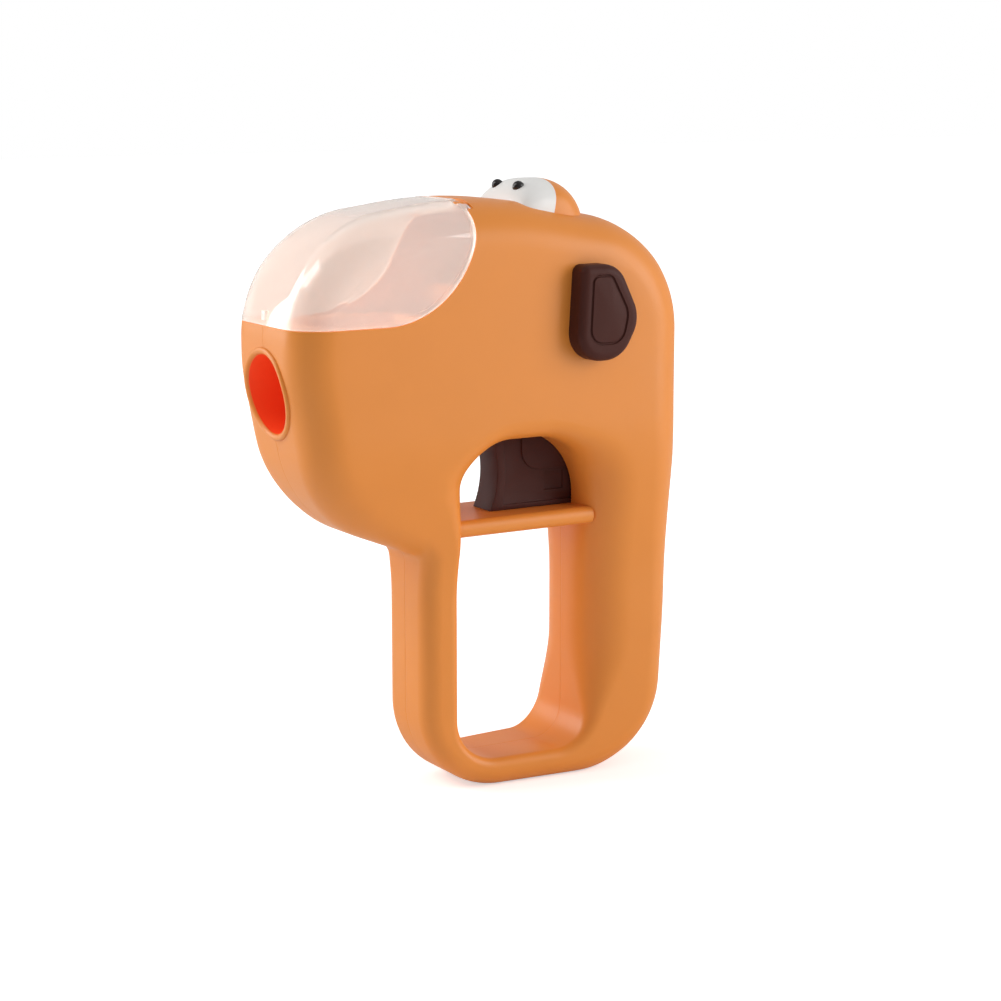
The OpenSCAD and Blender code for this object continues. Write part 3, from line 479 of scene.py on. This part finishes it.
# one hollow half: from the joint line over the outer edge, the flank and the hole's edge, then back inside
def halfRings():
    quarter = np.linspace(0, math.pi / 2, detail["edgeSteps"])
    inside = np.linspace(0, math.pi / 2, detail["insideSteps"])
    wall = head["wall"]
    rings = [seamRing(outline, outlineNormal, -seamSize["deep"], 0)]
    rings += [seamRing(outline, outlineNormal, 0, -seamSize[y]) for y in ("wide", "flat")]
    rings += [edgeRing(outline, outlineNormal, outerEdge, -1, 0, a) for a in quarter]
    rings += flankRings(0, np.linspace(0, 1, detail["flankSteps"])[1:-1])
    rings += [edgeRing(hole, holeNormal, holeEdge, 1, 0, a) for a in quarter[::-1]]
    rings += [seamRing(hole, holeNormal, 0, -seamSize[y]) for y in ("flat", "wide")]
    rings += [seamRing(hole, holeNormal, seamSize["deep"], 0)]
    rings += [seamRing(hole, holeNormal, wall, 0)]
    rings += [edgeRing(hole, holeNormal, holeEdge, 1, wall, a) for a in inside]
    rings += flankRings(wall, (0.75, 0.5, 0.25))
    rings += [edgeRing(outline, outlineNormal, outerEdge, -1, wall, a) for a in inside[::-1]]
    rings += [seamRing(outline, outlineNormal, -wall, 0)]
    return np.array(rings)


lidSize = {
    "back": 31.4, "cornerR": 28.6, "thick": 2, "gap": 0.25, "z": 137.5, "skirt": 6, "reachX": 150,
    "reachZ": 220, "hingeZ": 168.163, "knuckleR": 1.7, "knuckleWide": 20, "lugWide": 2.8, "lugLong": 5.4,
    "pinR": 0.8, "slip": 0.2, "pinSlip": 0.05, "roomX": 0.3, "roomZ": 140, "reliefX": 2.45, "reliefY": 15.8,
    "reliefFront": 1, "rim": 1.5, "rimOut": 0.12, "rimGrow": 0.03, "beadSunk": 0.04,
}
barrelSize = {
    "r": 13, "boreR": 11, "back": 14, "z": 118.5, "out": 0.9, "lipIn": 0.2, "lipX": 70, "slip": 0.02,
    "feedX": 54, "feedLong": 20, "feedWide": 16, "feedTop": 150,
}
triggerSize = {"wide": 10, "gap": 0.3, "front": 15.57, "over": 1}
hinge = np.array([-lidSize["back"], lidSize["hingeZ"]])
lugY = lidSize["knuckleWide"] / 2 + lidSize["slip"]
screwSize = {"boss": 4.2, "root": 0.75, "shank": 1.4, "headR": 2.6, "sink": 5, "slip": 0.3, "over": 1}
screwPlaces = np.array([  # x and z, as shares of the main sizes
    (head["backX"] - 0.46 * grip["rearThick"], 0.814 * head["crownZ"]),
    (-0.68 * lidSize["back"], lidSize["z"] + 0.7 * screwSize["boss"]),
    (-1.45 * grip["postX"], 1.083 * head["chinZ"]),
    (head["backX"] - 0.46 * grip["rearThick"], 0.89 * grip["throatZ"]),
    (head["backX"] - grip["heelIn"] - 1.37 * grip["footThick"], 3 * grip["footThick"]),
])
screwWide = halfWide(screwPlaces)


# side outline of the lid, grown by a gap: its back edge, the round lower corner and the lower edge
def lidOutline(grow):
    radius = lidSize["cornerR"] + grow
    x, z = grow - lidSize["back"], lidSize["z"] - grow
    turn = np.linspace(0, -np.pi / 2, 60)
    arc = np.column_stack([x - radius + radius * np.cos(turn), z + radius + radius * np.sin(turn)])
    top, ahead = lidSize["reachZ"], -lidSize["reachX"]
    return np.vstack([[(x, top)], arc, [(ahead, z), (ahead, top)]])


# half of the guard bar under the trigger: a flat bar with a full round edge
def guardBar():
    r = barSize["thick"] / 2
    turn = np.linspace(math.pi / 2, math.pi * 1.5, 24)
    y = np.concatenate([[0], r - barSize["wide"] / 2 + r * np.cos(turn), [0]])
    z = barSize["top"] - r + r * np.concatenate([[1], np.sin(turn), [-1]])
    ends = (-gripFront - head["wall"] / 2, gripBack + head["wall"])
    return solidFrom("guardBar", [np.column_stack([np.full(len(y), x), y, z]) for x in ends])


# half of the housing: the hollow half less the lid's opening, muzzle, trigger's slot and hinge's room, joined
# with its half of the guard bar, a hinge lug and the screw bosses, less the pin's and the screws' holes
def halfShell(name, side):
    turned = np.array([1, -side, 1])  # the half is drawn on the -y side
    shell = solidFrom(name, halfRings() * turned, capped=False)
    reliefY = lidSize["reliefY"]
    slotY = triggerSize["wide"] / 2 + triggerSize["gap"]
    slotLow = (-triggerSize["front"] - triggerSize["gap"], -slotY, barSize["top"])
    slotTop = grip["archZ"] + head["wall"] + triggerSize["over"]
    slotHigh = (head["backX"] - grip["rearThick"] / 2, slotY, slotTop)
    muzzle, behind = (-2 * past, 0, barrelSize["z"]), (-1.25 * grip["postX"], 0, barrelSize["z"])
    cuts = [
        prism("lidCut", lidOutline(lidSize["gap"]), -past, past),
        bar("muzzleCut", muzzle, behind, barrelSize["r"], detail["around"]),
        block("slotCut", slotLow, slotHigh),
    ]
    carve(shell, cuts, "DIFFERENCE")
    reliefLow = (hinge[0] - lidSize["reliefFront"], -reliefY, hinge[1] - lidSize["knuckleR"] * 2)
    reliefHigh = (hinge[0] + lidSize["reliefX"], reliefY, lidSize["reachZ"])
    carve(shell, [block("hingeCut", reliefLow, reliefHigh)], "DIFFERENCE")
    web = guardBar()
    web.data.transform(((1, 0, 0, 0), (0, -side, 0, 0), (0, 0, 1, 0), (0, 0, 0, 1)))
    if side > 0:
        web.data.flip_normals()
    lugR = lidSize["knuckleR"] - lidSize["slip"]
    near, away = sorted((side * lugY, side * (lugY + lidSize["lugWide"])))
    lugHigh = (hinge[0] + lidSize["lugLong"], away, hinge[1] + lugR - 2 * lidSize["slip"])
    joins = [
        web,
        block("lugBlock", (hinge[0], near, hinge[1] - lugR), lugHigh),
        bar("lugRound", (hinge[0], near, hinge[1]), (hinge[0], away, hinge[1]), lugR, 32),
    ]
    for p, wide in zip(screwPlaces, screwWide):
        bossEnd = side * (wide - screwSize["root"] * head["wall"])  # in the wall, under the falling edge
        joins.append(bar("boss", (p[0], 0, p[1]), (p[0], bossEnd, p[1]), screwSize["boss"], 40))
    carve(shell, joins, "UNION")
    holes = [bar("pinHole", (hinge[0], -past, hinge[1]), (hinge[0], past, hinge[1]), lidSize["pinR"], 24)]
    if side > 0:
        for p, wide in zip(screwPlaces, screwWide):
            floorY = wide - screwSize["sink"]
            seatR, over = screwSize["headR"] + screwSize["slip"], screwSize["over"]
            wayStart, wayEnd = (p[0], -over, p[1]), (p[0], floorY + over, p[1])
            holes.append(bar("seat", (p[0], floorY, p[1]), (p[0], past, p[1]), seatR, 48))
            holes.append(bar("way", wayStart, wayEnd, screwSize["shank"], 24))
    carve(shell, holes, "DIFFERENCE")
    return shell


leftHalf = dress(halfShell("leftHalf", -1), "housing", ["left_shell"], [orange])
rightHalf = dress(halfShell("rightHalf", 1), "housing", ["right_shell"], [orange])
print("housing halves:", len(leftHalf.data.polygons), "and", len(rightHalf.data.polygons), "faces")


# solid front of the head at a depth below its skin, from one flank over the edge roundings to the other
def headFront(name, depth, low, finish=0):
    front = (outline[:, 0] < -lidSize["back"] / 2) & (outline[:, 1] > low)
    ring, normal = outline[front], outlineNormal[front]
    rings = []
    for side in (-1, 1):
        for angle in np.linspace(0, math.pi / 2, detail["lidSteps"])[::side]:
            row = edgeRing(ring, normal, outerEdge, -1, depth, angle) * (1, -side, 1)
            corner = (0, row[0, 1], low - lidSize["skirt"])
            rings.append(np.vstack([row, corner]))
    return solidFrom(name, rings, finish=finish)


# lid: the head's front less itself at the lid's thickness, kept inside the lid's outline, joined with a
# raised rim, the knuckle and a round bead at each back corner, less the pin's hole and the lugs' room
def clearLid():
    low = lidSize["z"] - lidSize["cornerR"] / 2
    lid = headFront("clearLid", 0, low)
    carve(lid, [headFront("lidInside", lidSize["thick"], low)], "DIFFERENCE")
    lid.data.materials.append(clear)
    lid.data.materials.append(clearRim)
    carve(lid, [prism("lidRegion", lidOutline(0), -past, past, finish=1)], "INTERSECT")
    # the raised rim takes the whiter finish, the painted highlight along the lid's edge
    band = headFront("lidRim", -lidSize["rimOut"], low, finish=1)
    band.data.materials.append(clear)
    band.data.materials.append(clearRim)
    carve(band, [headFront("rimInside", lidSize["thick"] + lidSize["rimOut"], low, finish=1)], "DIFFERENCE")
    carve(band, [prism("rimRegion", lidOutline(lidSize["rimGrow"]), -past, past, finish=1)], "INTERSECT")
    carve(band, [prism("rimWindow", lidOutline(-lidSize["rim"]), -past, past, finish=1)], "DIFFERENCE")
    carve(lid, [band], "UNION")
    half, slip, knuckleR = lidSize["knuckleWide"] / 2, lidSize["slip"], lidSize["knuckleR"]
    lugEnd = lugY + lidSize["lugWide"] + slip
    pinHoleR = lidSize["pinR"] + lidSize["pinSlip"]
    joins = [bar("knuckle", (hinge[0], -half, hinge[1]), (hinge[0], half, hinge[1]), knuckleR, 40)]
    cuts = [bar("pinHole", (hinge[0], -lugEnd, hinge[1]), (hinge[0], lugEnd, hinge[1]), pinHoleR, 24)]
    for side in (-1, 1):
        beadEnd = side * (lidSize["reliefY"] - slip)
        bead = bar("bead", (hinge[0], side * lugEnd, hinge[1]), (hinge[0], beadEnd, hinge[1]), knuckleR, 40)
        joins.append(carve(bead, [headFront("beadSkin", lidSize["beadSunk"], low)], "INTERSECT"))
        ends = sorted((side * (lugY - slip), side * lugEnd))
        roomLow = (hinge[0] - knuckleR - lidSize["roomX"], ends[0], lidSize["roomZ"])
        cuts.append(block("lugRoom", roomLow, (0, ends[1], lidSize["reachZ"])))
    carve(lid, joins, "UNION")
    return carve(lid, cuts, "DIFFERENCE")


dress(clearLid(), "lid", ["lid"], [clear, clearRim])
print("lid made")


# x of the face's skin at a point across it: the outline's front, set back by the edge rounding to the sides
def faceX(y, z):
    front = (outlineNormal[:, 0] < -0.5) & (outline[:, 1] > head["chinZ"])
    order = np.argsort(outline[front][:, 1])
    x = np.interp(z, outline[front][order, 1], outline[front][order, 0])
    flat = np.column_stack([x, z])
    radius = outerEdge(flat)
    up = np.clip((np.abs(y) - (halfWide(flat) - radius)) / radius, 0, 1)
    return x + radius * (1 - np.sqrt(1 - up * up))


# barrel turned about x: a wall between bore and outside, with a rounded lip that follows the face
def barrelTube():
    turn = np.linspace(0, 2 * np.pi, detail["around"], endpoint=False)
    outside, bore, slip = barrelSize["r"], barrelSize["boreR"], barrelSize["slip"]
    mid, half = (outside + bore) / 2, (outside - bore) / 2

    # ring of the tube at a radius: at its back end, or ahead of the face's skin by the distance out
    def ring(radius, out):
        y, z = radius * np.cos(turn), barrelSize["z"] + radius * np.sin(turn)
        x = np.full(len(turn), -barrelSize["back"]) if out is None else faceX(y, z) - out
        return np.column_stack([x, y, z])

    rings = [ring(outside - slip, None)]
    for a in np.linspace(0, math.pi, 13):
        out = barrelSize["out"] * math.sin(a) - barrelSize["lipIn"] * (1 - math.cos(a))
        rings.append(ring(mid + (half - slip) * math.cos(a), out))
    rings.append(ring(bore, None))
    tube = solidFrom("barrelTube", rings, capped=False)
    feedX, long, wide = barrelSize["feedX"], barrelSize["feedLong"] / 2, barrelSize["feedWide"] / 2
    feedLow, feedHigh = (-feedX - long, -wide, barrelSize["z"]), (long - feedX, wide, barrelSize["feedTop"])
    return carve(tube, [block("feedCut", feedLow, feedHigh)], "DIFFERENCE")


# the bore gets the painted red shade and glow, the lip the orange
barrel = dress(barrelTube(), "housing", ["barrel"], [boreShadeAndGlow, orange])
lipFaces = np.zeros(len(barrel.data.polygons) * 3)
barrel.data.polygons.foreach_get("center", lipFaces)
lipFaces = lipFaces.reshape(-1, 3) / mm
lipRadius = np.hypot(lipFaces[:, 1], lipFaces[:, 2] - barrelSize["z"])
# the lip is orange, as the face is, and the bore takes the painted red shade and glow
onLip = (lipFaces[:, 0] < -barrelSize["lipX"]) & (lipRadius > barrelSize["boreR"] + 0.05)
barrel.data.polygons.foreach_set("material_index", onLip.astype(np.int32))
print("barrel made")

# eyes and brow: a side profile that shrinks towards both sides, split across
mound = {
    "browX": 13.2, "eyeX": 17.5, "splitX": 1, "topZ": 175, "footZ": 157, "lowZ": 159, "footR": 1,
    "browSlope": 2.6, "eyeSlope": 8.6, "browR": 12, "eyeR": 9, "half": 14.6, "fall": 0.36, "lean": 1.45,
    "tilt": 0.3, "eyeTaper": 0.09, "browTaper": 0.55,
}
moundLine = roundedOutline([
    (mound["browX"], mound["footZ"], mound["footR"]),
    (mound["browX"] - mound["browSlope"], mound["topZ"], mound["browR"]),
    (mound["eyeSlope"] - mound["eyeX"], mound["topZ"], mound["eyeR"]),
    (-mound["eyeX"], mound["footZ"], mound["footR"]),
], 0.5)[0]


# half of the mound ahead of or behind the split: leaning to a side, the profile's height above the foot and
# its length from the split shrink with powers of the lean's cosine, and the way across grows with its sine;
# below the top, what is near the split slides forward
def moundHalf(name, kept, taper):
    line = moundLine[moundLine[:, 1] > mound["lowZ"]]
    line = line[np.argsort(line[:, 0])]
    splitZ = np.interp(mound["splitX"], line[:, 0], line[:, 1])
    line = np.insert(line, np.searchsorted(line[:, 0], mound["splitX"]), (mound["splitX"], splitZ), 0)
    line = line[kept(line[:, 0])]
    ends = np.column_stack([line[[-1, 0], 0], np.full(2, mound["lowZ"])])
    line = np.vstack([line, ends])
    away = np.abs(line[:, 0] - mound["splitX"])
    rings = []
    for lean in np.linspace(-mound["lean"], mound["lean"], 41):
        shrink = math.cos(lean)
        x = mound["splitX"] + (line[:, 0] - mound["splitX"]) * shrink ** taper
        z = mound["footZ"] + (line[:, 1] - mound["footZ"]) * shrink ** mound["fall"]
        z = np.maximum(z, mound["lowZ"])
        x = x - mound["tilt"] * (mound["topZ"] - z) * (1 - away / away.max())
        rings.append(np.column_stack([x, np.full(len(line), mound["half"] * math.sin(lean)), z]))
    return solidFrom(name, rings)


eyes = moundHalf("eyeBlock", lambda x: x <= mound["splitX"], mound["eyeTaper"])
dress(eyes, "housing", ["eye_block"], [white], 40)
brow = moundHalf("browCap", lambda x: x >= mound["splitX"], mound["browTaper"])
dress(brow, "housing", ["brow_cap"], [orange], 40)

pupil = {"r": 1.7, "x": -8.3, "y": 5.7, "z": 172.8}


# pupil: a round bead half sunk in the mound, turned about its upright axis
def pupilBead(name, side):
    turn = np.linspace(0, 2 * np.pi, 40, endpoint=False)
    spoke = np.column_stack([np.cos(turn), np.sin(turn), np.zeros(40)])
    base = np.array([pupil["x"], side * pupil["y"], pupil["z"]])
    rise = np.linspace(-math.pi / 2, math.pi / 2, 21)
    up = np.array([0, 0, 1])
    return solidFrom(name, [base + pupil["r"] * (spoke * math.cos(a) + up * math.sin(a)) for a in rise])


for side, node in ((-1, "left_pupil"), (1, "right_pupil")):
    dress(pupilBead(node.replace("_p", "P"), side), "housing", [node], [black], 50)
print("eyes and brow made")

ear = {
    "x": 2.4, "z": 124.5, "long": 21, "high": 27.3, "out": 6, "root": 1, "edge": 2.4, "groove": 0.8,
    "grooveDeep": 0.5, "crown": 0.35, "crownSunk": 0.01, "shift": 1,
}
earSpan = (ear["long"], ear["high"], ear["long"])  # corners are shares of the ear's length and height
earShape = ((0.74, 0, 0.43), (1.04, 0.43, 0.46), (0.68, 1, 0.38), (0.08, 1, 0.12), (0, 0, 0.38))
fieldShape = (
    (0.72, 0.17, 0.24), (0.82, 0.5, 0.32), (0.54, 0.9, 0.13), (0.22, 0.9, 0.11), (0.17, 0.17, 0.21),
)
earLow = (-ear["x"], ear["z"], 0)
earLine, earNormal = roundedOutline(np.array(earShape) * earSpan + earLow, 0.5)
fieldRing = roundedOutline(np.array(fieldShape) * earSpan + earLow, 0.4)


# ear: its outline rises from the flank, rounds over, dips round the field and closes at the centre
def earPiece(name, side):
    centre = np.array([ear["long"] / 2 - ear["x"] + ear["shift"], ear["z"] + ear["high"] / 2 - ear["shift"]])
    field, fieldNormal = onRing(*fieldRing, centre, earLine)
    top = flank + ear["out"]

    # ring of the ear: a flat outline at one distance from the middle plane
    def ring(flat, y):
        return np.column_stack([flat[:, 0], np.full(len(flat), side * y), flat[:, 1]])

    rings = [ring(earLine, flank - ear["root"])]
    for angle in np.linspace(0, math.pi / 2, 9):
        rounded = earLine - earNormal * ear["edge"] * (1 - math.cos(angle))
        rings.append(ring(rounded, top - ear["edge"] * (1 - math.sin(angle))))
    over = earLine - earNormal * ear["edge"]
    rings += [ring(between(over, field, share), top) for share in (0.3, 0.6, 0.85)]
    for angle in np.linspace(0, math.pi, 11):
        inset = ear["groove"] / 2 * (1 - math.cos(angle))
        rings.append(ring(field - fieldNormal * inset, top - ear["grooveDeep"] * math.sin(angle)))
    inner = field - fieldNormal * ear["groove"]
    for share in np.linspace(0, 1, 10)[1:]:
        rise = ear["crown"] * math.sin(share * math.pi / 2) - ear["crownSunk"]
        rings.append(ring(between(inner, centre, share), top + rise))
    return solidFrom(name, rings)


for side, node in ((-1, "left_ear"), (1, "right_ear")):
    dress(earPiece(node.replace("_e", "E"), side), "housing", [node], [brown], 50)
print("ears made")


# rounds the sharp edges of a piece by a small bevel
def soften(piece, width, segments=3):
    edge = piece.modifiers.new("softEdge", "BEVEL")
    edge.width = width * mm
    edge.segments = segments
    edge.limit_method = "ANGLE"
    edge.angle_limit = math.radians(30)
    baked = bpy.data.meshes.new_from_object(piece.evaluated_get(bpy.context.evaluated_depsgraph_get()))
    piece.modifiers.clear()
    piece.data = baked
    return piece


# copy of a drawn node with its loose triangles joined, flat faces merged and edges softened
def softened(node, name, width):
    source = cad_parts[node]
    shape = bmesh.new()
    shape.from_mesh(source.data)
    bmesh.ops.remove_doubles(shape, verts=shape.verts, dist=2e-6)
    bmesh.ops.dissolve_limit(shape, angle_limit=math.radians(0.5), verts=shape.verts, edges=shape.edges)
    copy = bpy.data.meshes.new(name)
    shape.to_mesh(copy)
    shape.free()
    piece = bpy.data.objects.new(name, copy)
    bpy.context.scene.collection.objects.link(piece)
    return soften(piece, width)


dress(softened("trigger", "triggerPull", 0.3), "trigger", ["trigger"], [brown], 40)
dress(softened("hopper", "hopperTray", 0.2), "housing", ["hopper"], [orange], 40)

tab = {"wide": 2.4, "high": 2.6, "out": 0.6, "deep": 1}
tabX = faceX(np.zeros(1), np.array([lidSize["z"] + tab["high"]]))[0]
tabZ = lidSize["z"] + tab["high"] / 2
tabLow = (tabX - tab["out"], -tab["wide"] / 2, tabZ)
tabHigh = (tabX + tab["deep"], tab["wide"] / 2, tabZ + tab["high"])
tabBlock = block("lidTab", tabLow, tabHigh)
dress(soften(tabBlock, 0.2), "lid", ["lid_tab"], [clearRim], 40)
print("trigger, hopper and tab made")


# coil: a round wire carried along a helix, its frame made of the way out, the way along and their cross
def coilSpring(name, start, way, outer, thick, long, turns):
    steps = int(turns * 40)  # rings of wire for each turn
    t = np.linspace(0, 1, steps + 1)
    radius = outer - thick / 2
    turn = 2 * np.pi * turns * t
    axis = np.array(way, float)
    sideA = np.array((0.0, 1.0, 0.0))
    sideB = np.cross(axis, sideA)
    out = np.outer(np.cos(turn), sideA) + np.outer(np.sin(turn), sideB)
    around = np.outer(-np.sin(turn), sideA) + np.outer(np.cos(turn), sideB)
    along = unit(around * radius * 2 * np.pi * turns + axis * (long - thick))
    line = np.array(start) + out * radius + np.outer(thick / 2 + (long - thick) * t, axis)
    lift = np.cross(out, along)
    ring = np.linspace(0, 2 * np.pi, 12, endpoint=False)
    cosine, sine = np.cos(ring)[None, :, None], np.sin(ring)[None, :, None]
    rings = line[:, None] + thick / 2 * (cosine * out[:, None] + sine * lift[:, None])
    return solidFrom(name, rings)


springs = {
    "main_spring": {
        "name": "mainSpring", "way": (1, 0, 0), "outer": 8, "thick": 1.4, "turns": 8,
        "body": "housing", "joint": "plunger_slide", "give": 12.6, "stays": "high",
    },
    "trigger_spring": {
        "name": "triggerSpring", "way": (1, 0, 0), "outer": 2.9, "thick": 0.8, "turns": 12,
        "body": "housing", "joint": "trigger_slide", "give": 12.6, "stays": "high",
    },
    "sear_spring": {
        "name": "searSpring", "way": (0, 0, 1), "outer": 1.6, "thick": 0.5, "turns": 4,
        "body": "trigger", "joint": "sear_pivot", "give": 2.9, "stays": "low",
    },
}
for node, size in springs.items():
    low, high = (np.array(corner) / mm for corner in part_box(node))
    way = np.array(size["way"])
    start = np.where(way, low, (low + high) / 2)
    long = ((high - low) * way).sum()
    spring = coilSpring(size["name"], start, way, size["outer"], size["thick"], long, size["turns"])
    dress(spring, size["body"], [node], [wire], 60)
    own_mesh(spring)
print("springs wound")


screwForm = {
    "tipR": 0.9, "tipY": -8, "pointY": -7.2, "shankR": 1.35, "rimHigh": 0.5, "headHigh": 1.8,
    "roundness": 2.6, "armHalf": (0.36, 0.5), "armEnd": (1.35, 1.6), "crossDeep": 1.0,
}


# pan-head screws: a turned head on a plain shank, its top a dome that falls with a power of the radius,
# pressed in along a cross where a point is near one arm's line and not past the arm's end
def screwSet():
    turn = np.linspace(0, 2 * np.pi, 96, endpoint=False)
    shankR, headR, rimHigh = screwForm["shankR"], screwSize["headR"], screwForm["rimHigh"]
    pieces = []
    for p, wide in zip(screwPlaces, screwWide):
        floorY = wide - screwSize["sink"]
        steps = [(screwForm["tipR"], screwForm["tipY"]), (shankR, screwForm["pointY"]), (shankR, floorY)]
        steps += [(headR, floorY), (headR, floorY + rimHigh)]
        level = np.ones(len(turn))
        rings = [np.column_stack([r * np.cos(turn), y * level, r * np.sin(turn)]) for r, y in steps]
        for share in np.linspace(1, 0, 22):
            a, b = headR * share * np.cos(turn), headR * share * np.sin(turn)
            across, along = np.minimum(np.abs(a), np.abs(b)), np.maximum(np.abs(a), np.abs(b))
            cut = (1 - ease(*screwForm["armHalf"], across)) * (1 - ease(*screwForm["armEnd"], along))
            dome = rimHigh + (screwForm["headHigh"] - rimHigh) * np.sqrt(1 - share ** screwForm["roundness"])
            rings.append(np.column_stack([a, floorY + dome - screwForm["crossDeep"] * cut, b]))
        pieces.append(solidFrom("screw", np.array(rings) + (p[0], 0, p[1])))
    shape = bmesh.new()
    for piece in pieces:
        shape.from_mesh(piece.data)
    joined = bpy.data.meshes.new("shellScrews")
    shape.to_mesh(joined)
    shape.free()
    for piece in pieces:
        bpy.data.objects.remove(piece)
    screws = bpy.data.objects.new("shellScrews", joined)
    bpy.context.scene.collection.objects.link(screws)
    return screws


dress(screwSet(), "housing", ["shell_screws"], [zinc], 40)

plainNodes = {
    "lid_pin": zinc, "barrel_cap": orange, "plunger": brown, "plunger_ring": seal,
    "rod_collar": zinc, "sear": zinc, "sear_pin": zinc,
}
for node, finish in plainNodes.items():
    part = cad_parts[node]
    part.data.materials.clear()
    part.data.materials.append(finish)
print("screws and inner parts dressed")

stage = {
    "half": 4.0, "below": 1e-4, "floor": (0.93, 0.93, 0.93), "rough": 0.9, "lift": 0.5, "farLift": 0.8,
    "liftFrom": 0.2, "liftTo": 1.0, "ambient": 0.45, "mirrored": (0.12, 0.62), "mirroredX": (-1.0, 0.4),
}


# pale floor: it scatters the lamps' light, and seen directly it is lifted to white outside the shadow
def floorFinish():
    finish = bpy.data.materials.new("paleFloor")
    finish.use_nodes = True
    tree = finish.node_tree
    shader = tree.nodes["Principled BSDF"]
    shader.inputs["Base Color"].default_value = (*stage["floor"], 1)
    shader.inputs["Roughness"].default_value = stage["rough"]
    shader.inputs["Emission Color"].default_value = (1, 1, 1, 1)
    ray = put(tree, "ShaderNodeLightPath")
    place = put(tree, "ShaderNodeTexCoord").outputs["Object"]
    away = put(tree, "ShaderNodeVectorMath", {"operation": "LENGTH"}, i0=place)
    lift = put(tree, "ShaderNodeMapRange", i0=away.outputs["Value"], i1=stage["liftFrom"],
               i2=stage["liftTo"], i3=stage["lift"], i4=stage["farLift"])
    seen = put(tree, "ShaderNodeMath", {"operation": "MULTIPLY"}, i0=ray.outputs["Is Camera Ray"],
               i1=lift.outputs[0])
    tree.links.new(seen.outputs[0], shader.inputs["Emission Strength"])
    return finish


floorMesh = bpy.data.meshes.new("floor")
reach = stage["half"]
corners = [(x * reach, y * reach, -stage["below"]) for x, y in ((-1, -1), (1, -1), (1, 1), (-1, 1))]
floorMesh.from_pydata(corners, [], [(0, 1, 2, 3)])
floorMesh.materials.append(floorFinish())
floor = bpy.data.objects.new("floor", floorMesh)
bpy.context.scene.collection.objects.link(floor)

world = bpy.data.worlds.new("studio")
bpy.context.scene.world = world
world.use_nodes = True
tree = world.node_tree
sky = tree.nodes["Background"]
sky.inputs["Color"].default_value = (1, 1, 1, 1)
ray = put(tree, "ShaderNodeLightPath")
direct = put(tree, "ShaderNodeMath", {"operation": "MAXIMUM"}, i0=ray.outputs["Is Camera Ray"],
             i1=ray.outputs["Is Transmission Ray"])
towards = put(tree, "ShaderNodeSeparateXYZ", i0=put(tree, "ShaderNodeTexCoord").outputs["Generated"])
# what the plastic mirrors is dim towards the nose and bright behind
sheen = put(tree, "ShaderNodeMapRange", i0=towards.outputs["X"], i1=stage["mirroredX"][0],
            i2=stage["mirroredX"][1], i3=stage["mirrored"][0], i4=stage["mirrored"][1])
mirrored = put(tree, "ShaderNodeMapRange", i0=ray.outputs["Is Glossy Ray"], i1=0.0, i2=1.0,
               i3=stage["ambient"], i4=sheen.outputs[0])
strength = put(tree, "ShaderNodeMath", {"operation": "MAXIMUM"}, i0=direct.outputs[0],
               i1=mirrored.outputs[0])
tree.links.new(strength.outputs[0], sky.inputs["Strength"])

# softboxes: place, what they face, size and power
lamps = {
    "leftBox": {"at": (-720, 760, 420), "to": (-40, 0, 110), "size": (500, 700), "power": 5.5},
    "rightBox": {"at": (730, -640, 380), "to": (0, 0, 110), "size": (600, 800), "power": 5.8},
    "topBox": {"at": (-640, 260, 760), "to": (-60, 0, 140), "size": (360, 320), "power": 2.0},
}
for name, lamp in lamps.items():
    light = bpy.data.lights.new(name, "AREA")
    light.shape = "RECTANGLE"
    light.size, light.size_y = (side * mm for side in lamp["size"])
    light.energy = lamp["power"]
    holder = bpy.data.objects.new(name, light)
    aim = np.array(lamp["to"], float) - np.array(lamp["at"], float)
    flat = math.hypot(aim[0], aim[1])
    holder.location = [c * mm for c in lamp["at"]]
    holder.rotation_euler = (math.atan2(flat, -aim[2]), 0, math.atan2(-aim[0], aim[1]))
    bpy.context.scene.collection.objects.link(holder)

# camera at the photograph's place: place in mm, turn from +y towards +x, tilt down, focal length in pixels
view = {
    "at": (-364.4, -585.4, 210.3), "turn": 31.137, "down": 10.64, "focal": 2388.3, "frame": 1001,
    "sensor": 36, "clip": (0.01, 50),
}
lens = bpy.data.cameras.new("camera")
lens.sensor_width = view["sensor"]
lens.lens = view["focal"] * view["sensor"] / view["frame"]
lens.clip_start, lens.clip_end = view["clip"]
camera = bpy.data.objects.new("camera", lens)
camera.location = [c * mm for c in view["at"]]
camera.rotation_euler = (math.radians(90 - view["down"]), 0, -math.radians(view["turn"]))
bpy.context.scene.collection.objects.link(camera)
bpy.context.scene.camera = camera
bpy.context.scene.view_settings.view_transform = "Standard"
print("stage, lamps and camera set")
